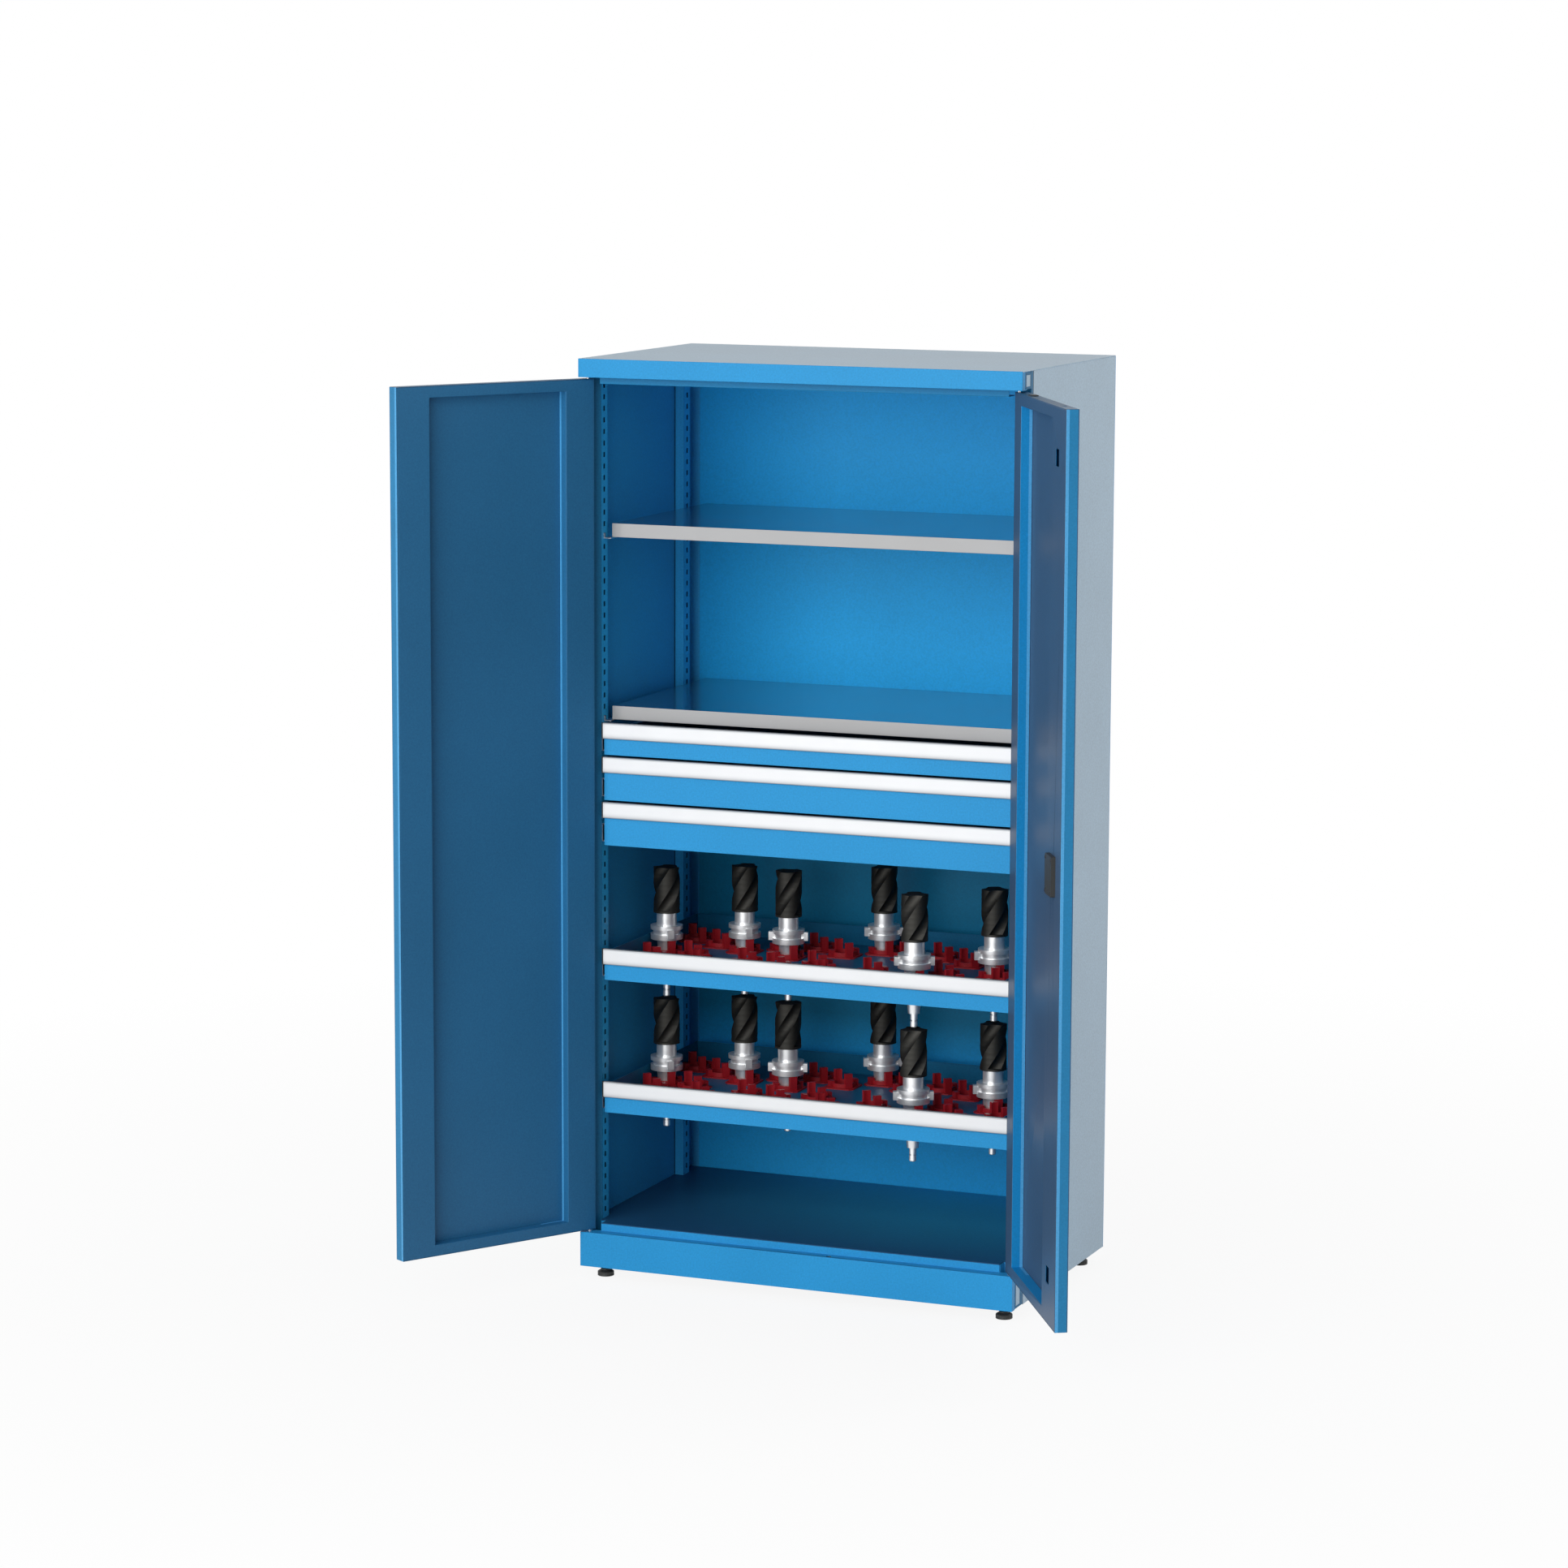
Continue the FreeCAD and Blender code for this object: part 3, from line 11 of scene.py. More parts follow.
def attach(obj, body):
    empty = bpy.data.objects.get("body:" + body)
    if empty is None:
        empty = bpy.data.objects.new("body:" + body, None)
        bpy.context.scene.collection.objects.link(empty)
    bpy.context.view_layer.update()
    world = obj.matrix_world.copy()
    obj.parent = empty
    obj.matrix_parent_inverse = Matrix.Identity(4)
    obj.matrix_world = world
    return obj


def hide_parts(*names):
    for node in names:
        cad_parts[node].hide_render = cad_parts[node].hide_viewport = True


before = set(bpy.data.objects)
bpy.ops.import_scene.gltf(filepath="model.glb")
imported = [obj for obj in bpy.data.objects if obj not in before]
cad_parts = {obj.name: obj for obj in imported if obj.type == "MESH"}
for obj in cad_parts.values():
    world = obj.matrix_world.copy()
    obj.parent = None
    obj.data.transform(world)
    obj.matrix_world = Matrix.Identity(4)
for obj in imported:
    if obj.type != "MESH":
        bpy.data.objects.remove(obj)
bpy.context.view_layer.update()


# ---------------------------------------------------------------- plinth, floor sheet and uprights
# The base and the four perforated posts, folded from 1.5 and 2 mm steel and powder-coated light
# blue. The coat has a fine orange peel and a slightly uneven gloss, and folds round the bends.
class Wire:
    """An output of a shader node that can be used in sums like a number."""

    def __init__(self, socket):
        self.socket = socket

    def node(self, kind, inputs, output=0, **settings):
        """Adds a node: its settings first, then the values or wires of its sockets."""
        node = self.socket.id_data.nodes.new(kind)
        for name, value in settings.items():
            setattr(node, name, value)
        for name, value in inputs.items():
            if isinstance(value, Wire):
                node.id_data.links.new(value.socket, node.inputs[name])
            else:
                node.inputs[name].default_value = value
        return Wire(node.outputs[output])

    def maths(self, operation, first, second=0.0):
        return self.node("ShaderNodeMath", {0: first, 1: second}, operation=operation)

    def __add__(self, other):
        return self.maths("ADD", self, other)

    def __radd__(self, other):
        return self.maths("ADD", other, self)

    def __sub__(self, other):
        return self.maths("SUBTRACT", self, other)

    def __rsub__(self, other):
        return self.maths("SUBTRACT", other, self)

    def __mul__(self, other):
        return self.maths("MULTIPLY", self, other)

    def __rmul__(self, other):
        return self.maths("MULTIPLY", other, self)

    def __truediv__(self, other):
        return self.maths("DIVIDE", self, other)

    def __rtruediv__(self, other):
        return self.maths("DIVIDE", other, self)

    def part(self, axis):
        """One coordinate of a place."""
        return self.node("ShaderNodeSeparateXYZ", {"Vector": self}, output=axis)

    def size(self):
        return self.maths("ABSOLUTE", self)

    def above(self, level):
        return self.maths("GREATER_THAN", self, level)

    def clamped(self):
        return self.node("ShaderNodeClamp", {"Value": self})

    def noise(self, scale, detail=2.0, stretch=(1.0, 1.0, 1.0)):
        """Cloudy pattern with features about 1/scale metres across."""
        place = self.node("ShaderNodeMapping", {"Vector": self, "Scale": stretch})
        return self.node("ShaderNodeTexNoise", {"Vector": place, "Scale": scale, "Detail": detail})


def colour_mix(factor, low, high):
    """Colour between two colours or colour wires."""
    node = factor.socket.id_data.nodes.new("ShaderNodeMix")
    node.data_type = "RGBA"
    for index, value in ((0, factor), (6, low), (7, high)):
        if isinstance(value, Wire):
            node.id_data.links.new(value.socket, node.inputs[index])
        else:
            node.inputs[index].default_value = value
    return Wire(node.outputs[2])


def shade(colour, level):
    """The colour made lighter or darker, as a shader wants it."""
    return tuple(min(1.0, c * level) for c in colour[:3]) + (1.0,)


def material(name, **plain):
    """A new material, and the place on the piece that its pattern is built from."""
    made = bpy.data.materials.new(name)
    made.use_nodes = True
    shader = made.node_tree.nodes["Principled BSDF"]
    for socket, value in plain.items():
        shader.inputs[socket.replace("_", " ")].default_value = value
    place = Wire(made.node_tree.nodes.new("ShaderNodeTexCoord").outputs["Object"])
    return made, place


def connect(made, **wires):
    """Feeds wires to the shader's sockets."""
    shader = made.node_tree.nodes["Principled BSDF"]
    for socket, wire in wires.items():
        made.node_tree.links.new(wire.socket, shader.inputs[socket.replace("_", " ")])
    return made


def bumps(height, distance):
    """Surface relief from a height wire."""
    return height.node("ShaderNodeBump", {"Height": height, "Distance": distance}, output="Normal")


def powder_coat(name, colour, roughness=0.36, sheen=0.12, coats=()):
    """Baked powder paint: fine orange peel, faint clouds and grain in its colour and gloss.

    Each coat is a place test and the colour that lies where the test gives 1.
    """
    made, place = material(name, Specular_IOR_Level=sheen)
    clouds = place.noise(3.0, 3.0)
    grain = place.noise(260.0, 1.0)
    tone = ((clouds * 0.4 + grain * 0.6 - 0.5) * 2.2 + 0.5).clamped()
    paint = colour_mix(tone, shade(colour, 0.88), shade(colour, 1.12))
    for covered, coat in coats:
        coat_paint = colour_mix(tone, shade(coat, 0.88), shade(coat, 1.12))
        paint = colour_mix(covered(place), paint, coat_paint)
    return connect(
        made,
        Base_Color=paint,
        Roughness=roughness - 0.05 + clouds * 0.1,
        Normal=bumps(place.noise(450.0, 2.0), 0.00006),
    )


def dress(made, *nodes):
    """Gives CAD nodes their finish."""
    for node in nodes:
        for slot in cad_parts[node].material_slots:
            slot.material = made


def soften(radius, *nodes):
    """Rounds the folds and edges of CAD sheet parts."""
    for node in nodes:
        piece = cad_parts[node]
        weld = piece.modifiers.new("weld", "WELD")
        weld.merge_threshold = 0.00002
        fold = piece.modifiers.new("fold", "BEVEL")
        fold.width = radius
        fold.segments = 2
        fold.limit_method = "ANGLE"
        fold.angle_limit = math.radians(50.0)


FRAME_BLUE = (0.026, 0.305, 0.64)
SHADED_BLUE = (0.008, 0.14, 0.29)
FLOOR_SHADE_BLUE = (0.016, 0.082, 0.185)
FLOOR_CORNER_LIGHT_BLUE = (0.030, 0.35, 0.58)
FLOOR_FRONT_Y = -0.28
FLOOR_LEFT_X = -0.45
FLOOR_FADE_BACK = 2.0
FLOOR_FADE_RIGHT = 1.6
WEB_LIGHT_BLUE = (0.040, 0.44, 0.82)
SLOT_SHADOW = (0.001, 0.004, 0.008)
POST_BACK_X = 0.4802
POST_FRONT_Y = 0.2425
POST_MIDDLE = 0.2258
POST_INSIDE = 0.0153

base_paint = powder_coat("light_blue_powder_coat", FRAME_BLUE)
dress(base_paint, "plinth")


def lit_inner_corner(place):
    """1 at the floor's far right corner, where light is painted, fading to 0 at its front edge and
    left side.
    """
    back = ((place.part("Y") - FLOOR_FRONT_Y) * FLOOR_FADE_BACK).clamped()
    return back * ((place.part("X") - FLOOR_LEFT_X) * FLOOR_FADE_RIGHT).clamped()


# The floor sheet is painted a dark blue as painted shade, with painted light towards its far right
# corner.
floor_shade_paint = powder_coat(
    "floor_sheet_painted_shade", FLOOR_SHADE_BLUE, coats=((lit_inner_corner, FLOOR_CORNER_LIGHT_BLUE),)
)
dress(floor_shade_paint, "floor_panel")


def slot_strip(place):
    """1 between the two folds of a post, where its slots are."""
    return (POST_INSIDE - (place.part("Y").size() - POST_MIDDLE).size()).above(0.0)


def shadow_behind_post(place):
    """1 on the walls of the slots and on the hidden side of the posts behind them, where shadow is
    painted near-black.
    """
    return slot_strip(place) * place.part("X").size().above(POST_BACK_X)


def lit_slotted_web(place):
    """1 on the slotted web of a post, on the side that faces the shelves, where light is painted.
    """
    return slot_strip(place) * (POST_BACK_X - place.part("X").size()).above(0.0)


def post_front(place):
    """1 on the narrow front face of the front posts, always in the doors' shade."""
    return (0.0 - place.part("Y")).above(POST_FRONT_Y)


# The posts carry painted light on their slotted web, painted shadow in and behind the slots, and
# painted shade on their front face.
post_paint = powder_coat(
    "post_paint", FRAME_BLUE,
    coats=((lit_slotted_web, WEB_LIGHT_BLUE), (shadow_behind_post, SLOT_SHADOW), (post_front, SHADED_BLUE)),
)
dress(post_paint, "front_uprights", "rear_uprights")
soften(0.0008, "plinth", "floor_panel")


# ---------------------------------------------------------------- levelling feet
# Four moulded nylon pads, each turning on a zinc-plated stud that screws up into the bearer and
# is locked under it by a hexagon nut and a washer.
def moulded_plastic(name, colour, roughness=0.5):
    """Moulded plastic with a fine spark-eroded grain."""
    made, place = material(name, IOR=1.46)
    clouds = place.noise(25.0, 2.0)
    return connect(
        made,
        Base_Color=colour_mix(clouds, shade(colour, 0.85), shade(colour, 1.15)),
        Roughness=roughness - 0.06 + clouds * 0.12,
        Normal=bumps(place.noise(1600.0, 1.0), 0.00005),
    )


def bright_metal(name, colour, roughness=0.25, grain=(1.0, 1.0, 30.0), metallic=1.0):
    """Machined or plated metal with a fine directional grain."""
    made, place = material(name, Metallic=metallic)
    scratches = place.noise(120.0, 4.0, grain)
    clouds = place.noise(12.0, 2.0)
    return connect(
        made,
        Base_Color=colour_mix(clouds, shade(colour, 0.9), shade(colour, 1.06)),
        Roughness=roughness + scratches * 0.16 - 0.08,
        Normal=bumps(scratches, 0.00002),
    )


def deselect_all():
    """Leaves nothing selected, so that the next operator acts on its own piece."""
    for chosen in list(bpy.context.selected_objects):
        chosen.select_set(False)


def new_piece(primitive, **size):
    """Adds a primitive by itself and goes into edit mode on it."""
    deselect_all()
    getattr(bpy.ops.mesh, f"primitive_{primitive}_add")(**size)
    piece = bpy.context.object
    bpy.ops.object.transform_apply(location=True, rotation=True, scale=True)
    bpy.ops.object.mode_set(mode="EDIT")
    bpy.ops.mesh.select_mode(type="FACE")
    return piece


def choose(test):
    """In edit mode, selects the faces whose middle and normal pass the test."""
    bpy.ops.mesh.select_all(action="DESELECT")
    bpy.ops.object.mode_set(mode="OBJECT")
    for face in bpy.context.object.data.polygons:
        face.select = test(face.center, face.normal)
    bpy.ops.object.mode_set(mode="EDIT")


def draw_out(step, size=(1.0, 1.0, 1.0), about=(0.0, 0.0, 0.0)):
    """Extrudes the chosen faces by a step, then resizes their ends about a point."""
    bpy.ops.mesh.extrude_region_move(TRANSFORM_OT_translate={"value": step})
    bpy.ops.transform.resize(value=size, center_override=about)


def modify(piece, kind, **settings):
    """Adds a modifier and applies it."""
    deselect_all()
    piece.select_set(True)
    bpy.context.view_layer.objects.active = piece
    modifier = piece.modifiers.new(kind.lower(), kind)
    for name, value in settings.items():
        setattr(modifier, name, value)
    bpy.ops.object.modifier_apply(modifier=modifier.name)


def round_edges(piece, width, angle=50.0):
    """Rounds the edges of a piece that turn by more than the angle."""
    modify(
        piece, "BEVEL", width=width, segments=2, limit_method="ANGLE",
        angle_limit=math.radians(angle),
    )


def finish_piece(piece, name, made, body):
    """Fixes a piece's place in its mesh, smooths, names and paints it, and ties it to its body."""
    deselect_all()
    piece.select_set(True)
    bpy.context.view_layer.objects.active = piece
    bpy.ops.object.transform_apply(location=True, rotation=True, scale=True)
    bpy.ops.object.shade_smooth_by_angle(angle=math.radians(35.0))
    piece.name = name
    piece.data.materials.clear()
    piece.data.materials.append(made)
    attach(piece, body)


def joined(pieces):
    """Several pieces made one."""
    deselect_all()
    for piece in pieces:
        piece.select_set(True)
    bpy.context.view_layer.objects.active = pieces[0]
    bpy.ops.object.join()
    return pieces[0]


def copy_at(piece, x, y):
    """A copy with its own mesh, moved to its place."""
    deselect_all()
    piece.select_set(True)
    bpy.context.view_layer.objects.active = piece
    bpy.ops.object.duplicate(linked=False)
    copy = bpy.context.object
    copy.location = (x, y, 0.0)
    return copy


FOOT_PLACES = {
    "front_left": (-0.468, -0.252),
    "front_right": (0.468, -0.252),
    "rear_left": (-0.468, 0.252),
    "rear_right": (0.468, 0.252),
}
PAD_RADIUS = 0.0183
PAD_SOLE = 0.0022
SHOULDER_SHARE = 0.725
NECK_RADIUS = 0.0110
# Each step of the pad's profile: how far it rises, and how much it widens or narrows.
PAD_STEPS = (
    (0.0006, 0.965),
    (0.0056, 1.0),
    (0.0006, 1.03),
    (0.0030, 0.74),
    (0.0012, NECK_RADIUS / PAD_RADIUS / SHOULDER_SHARE),
    (0.0020, 1.0),
    (0.0, 0.75),
    (-0.0020, 1.0),
)
RIB_COUNT = 20
RIB_SIZE = (0.0010, 0.0011, 0.0054)
RIB_INSET = 0.0006
RIB_MIDDLE = 0.0057
STUD_CORE_RADIUS = 0.0050
STUD_BOTTOM = 0.012
STUD_TOP = 0.070
THREAD_RADIUS = 0.0058
THREAD_RIDGE = 0.0010
THREAD_PITCH = 0.00175
THREAD_TURNS = 30
THREAD_BOTTOM = 0.0145
NUT_CORNER_RADIUS = 0.0104
NUT_HEIGHT = 0.0066
NUT_FACE_INSET = 0.0011
NUT_FACE = 0.0005
WASHER_THICKNESS = 0.0014
WASHER_TOP = 0.030
NUT_TOP = WASHER_TOP - WASHER_THICKNESS - NUT_FACE

black_plastic = moulded_plastic("black_plastic", (0.035, 0.036, 0.034))
dark_steel = bright_metal("dark_steel", (0.12, 0.12, 0.13), 0.4)

pad = new_piece(
    "cylinder", vertices=2 * RIB_COUNT, radius=PAD_RADIUS, depth=PAD_SOLE,
    location=(0.0, 0.0, PAD_SOLE / 2),
)
choose(lambda middle, normal: normal.z > 0.9)
for rise, spread in PAD_STEPS:
    draw_out((0.0, 0.0, rise), (spread, spread, 1.0))
bpy.ops.object.mode_set(mode="OBJECT")
round_edges(pad, 0.0004, 25.0)
ribs = []
for index in range(RIB_COUNT):
    rib = new_piece(
        "cube", size=1.0, location=(PAD_RADIUS - RIB_INSET, 0.0, RIB_MIDDLE), scale=RIB_SIZE
    )
    bpy.ops.mesh.select_all(action="SELECT")
    bpy.ops.transform.rotate(
        value=index * 2 * math.pi / RIB_COUNT, orient_axis="Z", center_override=(0.0, 0.0, 0.0)
    )
    bpy.ops.object.mode_set(mode="OBJECT")
    ribs.append(rib)
pad = joined([pad] + ribs)

core = new_piece(
    "cylinder", vertices=32, radius=STUD_CORE_RADIUS, depth=STUD_TOP - STUD_BOTTOM,
    location=(0.0, 0.0, (STUD_TOP + STUD_BOTTOM) / 2),
)
bpy.ops.mesh.bevel(offset=0.0006, segments=1, affect="EDGES")
bpy.ops.object.mode_set(mode="OBJECT")
thread = new_piece("circle", vertices=3, radius=THREAD_RIDGE, fill_type="NGON")
bpy.ops.mesh.select_all(action="SELECT")
bpy.ops.transform.rotate(value=math.pi / 2, orient_axis="Y", center_override=(0.0, 0.0, 0.0))
bpy.ops.transform.rotate(value=math.pi / 2, orient_axis="Z", center_override=(0.0, 0.0, 0.0))
bpy.ops.object.mode_set(mode="OBJECT")
thread.location = (THREAD_RADIUS - THREAD_RIDGE, 0.0, 0.0)
deselect_all()
thread.select_set(True)
bpy.ops.object.transform_apply(location=True)
modify(
    thread, "SCREW", axis="Z", angle=2 * math.pi, screw_offset=THREAD_PITCH,
    iterations=THREAD_TURNS, steps=20, render_steps=20,
)
thread.location = (0.0, 0.0, THREAD_BOTTOM)
nut = new_piece(
    "cylinder", vertices=6, radius=NUT_CORNER_RADIUS, depth=NUT_HEIGHT,
    location=(0.0, 0.0, NUT_TOP - NUT_HEIGHT / 2),
)
choose(lambda middle, normal: abs(normal.z) > 0.9)
bpy.ops.mesh.inset(thickness=NUT_FACE_INSET, depth=NUT_FACE, use_individual=True)
bpy.ops.object.mode_set(mode="OBJECT")
washer = new_piece(
    "cylinder", vertices=40, radius=NUT_CORNER_RADIUS, depth=WASHER_THICKNESS,
    location=(0.0, 0.0, WASHER_TOP - WASHER_THICKNESS / 2),
)
bpy.ops.mesh.bevel(offset=0.0003, segments=1, affect="EDGES")
bpy.ops.object.mode_set(mode="OBJECT")
stud = joined([core, thread, nut, washer])

for corner, (x, y) in FOOT_PLACES.items():
    foot = copy_at(pad, x, y)
    finish_piece(foot, f"levelling_pad_{corner}", black_plastic, "cabinet")
    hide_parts("foot_pads")
    screw = copy_at(stud, x, y)
    finish_piece(screw, f"levelling_stud_{corner}", dark_steel, "cabinet")
    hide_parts("foot_studs")
for pattern in (pad, stud):
    bpy.data.objects.remove(pattern)


# ---------------------------------------------------------------- floor corner flaps
# Two small flaps, folded from the same sheet and welded under the floor sheet in front of the
# posts. They close the corners that the riser of the plinth leaves open at its ends.
FLAP_SHEET = 0.0012
FLAP_INSIDE_X = 0.4662
FLAP_OUTSIDE_X = 0.4790
FLAP_FRONT_Y = -0.2783
FLAP_BACK_Y = -0.2520
FLAP_BOTTOM = 0.0880
FLAP_TOP = 0.1226

for side, outward in (("left", -1.0), ("right", 1.0)):
    flap = new_piece(
        "cube", size=1.0,
        location=(
            outward * (FLAP_INSIDE_X + FLAP_SHEET / 2),
            (FLAP_FRONT_Y + FLAP_BACK_Y - FLAP_SHEET) / 2,
            (FLAP_BOTTOM + FLAP_TOP) / 2,
        ),
        scale=(FLAP_SHEET, FLAP_BACK_Y - FLAP_FRONT_Y - FLAP_SHEET, FLAP_TOP - FLAP_BOTTOM),
    )
    choose(lambda middle, normal: normal.y > 0.9)
    draw_out((0.0, FLAP_SHEET, 0.0))
    choose(lambda middle, normal: normal.x * outward > 0.9 and middle.y > FLAP_BACK_Y - FLAP_SHEET)
    draw_out((outward * (FLAP_OUTSIDE_X - FLAP_INSIDE_X - FLAP_SHEET), 0.0, 0.0))
    bpy.ops.object.mode_set(mode="OBJECT")
    round_edges(flap, 0.0004)
    finish_piece(flap, f"{side}_floor_corner_flap", base_paint, "cabinet")


# ---------------------------------------------------------------- outer shell
# Side, back and roof panels of 2 mm sheet, light grey outside and blue inside, spot-welded to the
# frame, with the light blue header under the roof. The caps on the ends of header and plinth are
# grey with a blue rim.
BODY_GREY = (0.50, 0.64, 0.76)
SIDE_BLUE = (0.036, 0.325, 0.64)
BACK_BLUE = (0.015, 0.36, 0.77)
BEHIND_RACKS_BLUE = (0.006, 0.22, 0.42)
LIP_SHADE_BLUE = (0.009, 0.19, 0.40)
SIDE_FACE = 0.5044
REAR_FACE = 0.3069
ROOF_EDGE = 2.0074
HEADER_BOTTOM = 1.990
CAP_RIM_FACE = 0.5046
RACKS_MIDDLE = 0.730
RACKS_HALF = 0.300
RACKS_FADE = 12.0

# Inside, each side panel is painted near-black in the strip behind each post: painted shadow.
side_paint = powder_coat(
    "side_panel_paint", SIDE_BLUE, 0.42,
    coats=(
        (slot_strip, SLOT_SHADOW),
        (lambda place: place.part("X").size().above(SIDE_FACE), BODY_GREY),
    ),
)
dress(side_paint, "left_side_panel", "right_side_panel")


def behind_racks(place):
    """1 on the part of the back panel that the racks keep in shade, with soft borders."""
    from_middle = (place.part("Z") - RACKS_MIDDLE).size()
    return ((RACKS_HALF - from_middle) * RACKS_FADE).clamped()


back_paint = powder_coat(
    "back_panel_paint", BACK_BLUE, 0.42,
    coats=(
        (behind_racks, BEHIND_RACKS_BLUE),
        (lambda place: place.part("Y").above(REAR_FACE), BODY_GREY),
    ),
)
dress(back_paint, "back_panel")
roof_paint = powder_coat(
    "roof_paint", FRAME_BLUE, 0.42,
    coats=((lambda place: place.part("Z").above(ROOF_EDGE), BODY_GREY),),
)
dress(roof_paint, "top_panel")
# The header's lower lip is painted a darker blue: painted shade.
header_paint = powder_coat(
    "header_paint", FRAME_BLUE,
    coats=((lambda place: (HEADER_BOTTOM - place.part("Z")).above(0.0), LIP_SHADE_BLUE),),
)
dress(header_paint, "header")
# The caps' blue rim is given the shaded blue: blue paint with painted shade on it.
cap_paint = powder_coat(
    "cap_paint", BODY_GREY, 0.42,
    coats=((lambda place: place.part("X").size().above(CAP_RIM_FACE), SHADED_BLUE),),
)
dress(cap_paint, "member_end_caps")
soften(0.0008, "top_panel", "header", "left_side_panel", "right_side_panel")


# ---------------------------------------------------------------- shelves
# Two trays of galvanised sheet, bright enough on top to mirror the back panel, with a dull folded
# front edge. Each hangs on four zinc-plated clips hooked into the slots of the posts.
SHELF_FRONT_LINE = 0.2122
DULL_SHEET = (0.44, 0.45, 0.45, 1.0)
BRIGHT_SHEET = (0.58, 0.59, 0.59, 1.0)
HEM_GREY = (0.40, 0.40, 0.40, 1.0)

galvanised, place = material("galvanised_sheet")
spangle = place.node("ShaderNodeTexVoronoi", {"Vector": place, "Scale": 90.0}, output="Distance")
clouds = place.noise(9.0, 3.0)
front_hem = (0.0 - place.part("Y")).above(SHELF_FRONT_LINE)
sheet = colour_mix(spangle * 0.5 + clouds * 0.5, DULL_SHEET, BRIGHT_SHEET)
connect(
    galvanised,
    Base_Color=colour_mix(front_hem, sheet, HEM_GREY),
    Metallic=1.0 - front_hem * 0.9,
    Roughness=0.14 + clouds * 0.12 + front_hem * 0.3,
)
dress(galvanised, "upper_shelf", "lower_shelf")

zinc = bright_metal("zinc_plate", (0.62, 0.63, 0.64), 0.32)
dress(zinc, "shelf_clips")
soften(0.0010, "upper_shelf", "lower_shelf")


# ---------------------------------------------------------------- drawers
# Three shallow drawers on telescopic slides: folded blue fronts and trays, and a grip along the
# top of each front, extruded in satin aluminium and closed at both ends by a black plastic cap.
GRIP_HEIGHT = 0.035
GRIP_TOPS = {
    "top_drawer": 1.236,
    "middle_drawer": 1.161,
    "bottom_drawer": 1.061,
    "upper_rack": 0.7355,
    "lower_rack": 0.438,
}
LOWER_TURN = 0.62
LOWER_TURN_FADE = 2.6
UPPER_TURN = 0.14
UPPER_TURN_FADE = 7.0
TURN_SHADE_GREY = (0.32, 0.34, 0.36, 1.0)
SATIN_DARK = (0.74, 0.75, 0.76, 1.0)
SATIN_LIGHT = (0.80, 0.81, 0.82, 1.0)
TRAY_FRONT = -0.248


def grip_finish(unit, top):
    """Satin aluminium with painted shade where the extrusion turns under at its lower and upper
    edges.
    """
    made, place = material(f"{unit}_satin_aluminium", Metallic=0.2)
    drop = (top - place.part("Z")) / GRIP_HEIGHT
    lower_turn = ((drop - LOWER_TURN) * LOWER_TURN_FADE).clamped()
    upper_turn = ((UPPER_TURN - drop) * UPPER_TURN_FADE).clamped()
    edge_shade = (lower_turn * lower_turn + upper_turn).clamped()
    scratches = place.noise(120.0, 4.0, (1.0, 30.0, 30.0))
    bright = colour_mix(place.noise(12.0, 2.0), SATIN_DARK, SATIN_LIGHT)
    return connect(
        made,
        Base_Color=colour_mix(edge_shade, bright, TURN_SHADE_GREY),
        Roughness=0.42 + scratches * 0.16,
        Normal=bumps(scratches, 0.00002),
    )


def behind_front(place):
    """1 on the tray or rack behind its front sheet."""
    return place.part("Y").above(TRAY_FRONT)


# Trays and rack frames behind the fronts take the shaded blue: painted shade.
front_paint = powder_coat("drawer_front_paint", FRAME_BLUE, coats=((behind_front, SHADED_BLUE),))
dress(zinc, "fixed_slide_rails")
for unit in ("top_drawer", "middle_drawer", "bottom_drawer"):
    dress(front_paint, f"{unit}_front", f"{unit}_tray")
    soften(0.0008, f"{unit}_front")
for unit, top in GRIP_TOPS.items():
    dress(zinc, f"{unit}_middle_slides")
    dress(grip_finish(unit, top), f"{unit}_handle")
    dress(black_plastic, f"{unit}_handle_caps")


# ---------------------------------------------------------------- tool racks
# Two pull-out racks on the same slides. Moulded red inserts click into the rack plate and hold
# ground steel taper holders, each with a black-coated router bit and a pull stud.
red_plastic = moulded_plastic("red_plastic", (0.38, 0.010, 0.018), 0.45)
holder_steel = bright_metal("ground_steel", (0.88, 0.89, 0.90), 0.33, (1.0, 1.0, 12.0), 0.75)
cutter_black = bright_metal("coated_tool_steel", (0.050, 0.049, 0.045), 0.6)
for unit in ("upper_rack", "lower_rack"):
    dress(front_paint, f"{unit}_frame")
    dress(red_plastic, f"{unit}_inserts")
    dress(holder_steel, f"{unit}_tool_holders")
    dress(cutter_black, f"{unit}_cutters")


# ---------------------------------------------------------------- doors
# Two folded steel doors, each a flat skin with a frame of stiles and rails inside it, hung on
# zinc-plated pins in plain bushes. A black buffer at the top of the right door meets the header.
# Door colours for painted shade, a painted reflection and a painted highlight.
LEFT_WALL_SHADE_BLUE = (0.022, 0.155, 0.33)
RIGHT_WALL_SHADE_BLUE = (0.005, 0.24, 0.56)
FOLD_HIGHLIGHT_BLUE = (0.08, 0.37, 0.70)
EDGE_SHADE_BLUE = (0.014, 0.20, 0.42)
DOOR_SHADE_BLUE = (0.020, 0.135, 0.285)
DOOR_SHADE_REFLECTION_SLATE = (0.044, 0.090, 0.168)
DOOR_TOP_BLUE = (0.012, 0.080, 0.17)
HINGE_LINE = Vector((0.491, -0.287, 0.0))
DOOR_ANGLE = math.radians(121.0)
DOOR_TOP = 1.9854
INNER_FACE = -0.2811
OUTER_FACE = -0.3071
RECESS = (-0.3068, -0.3053)
FREE_EDGE = 0.4893
FREE_EDGE_BEND = 0.4885
FREE_EDGE_FOLD = -0.2875
HINGE_STILE = 0.12
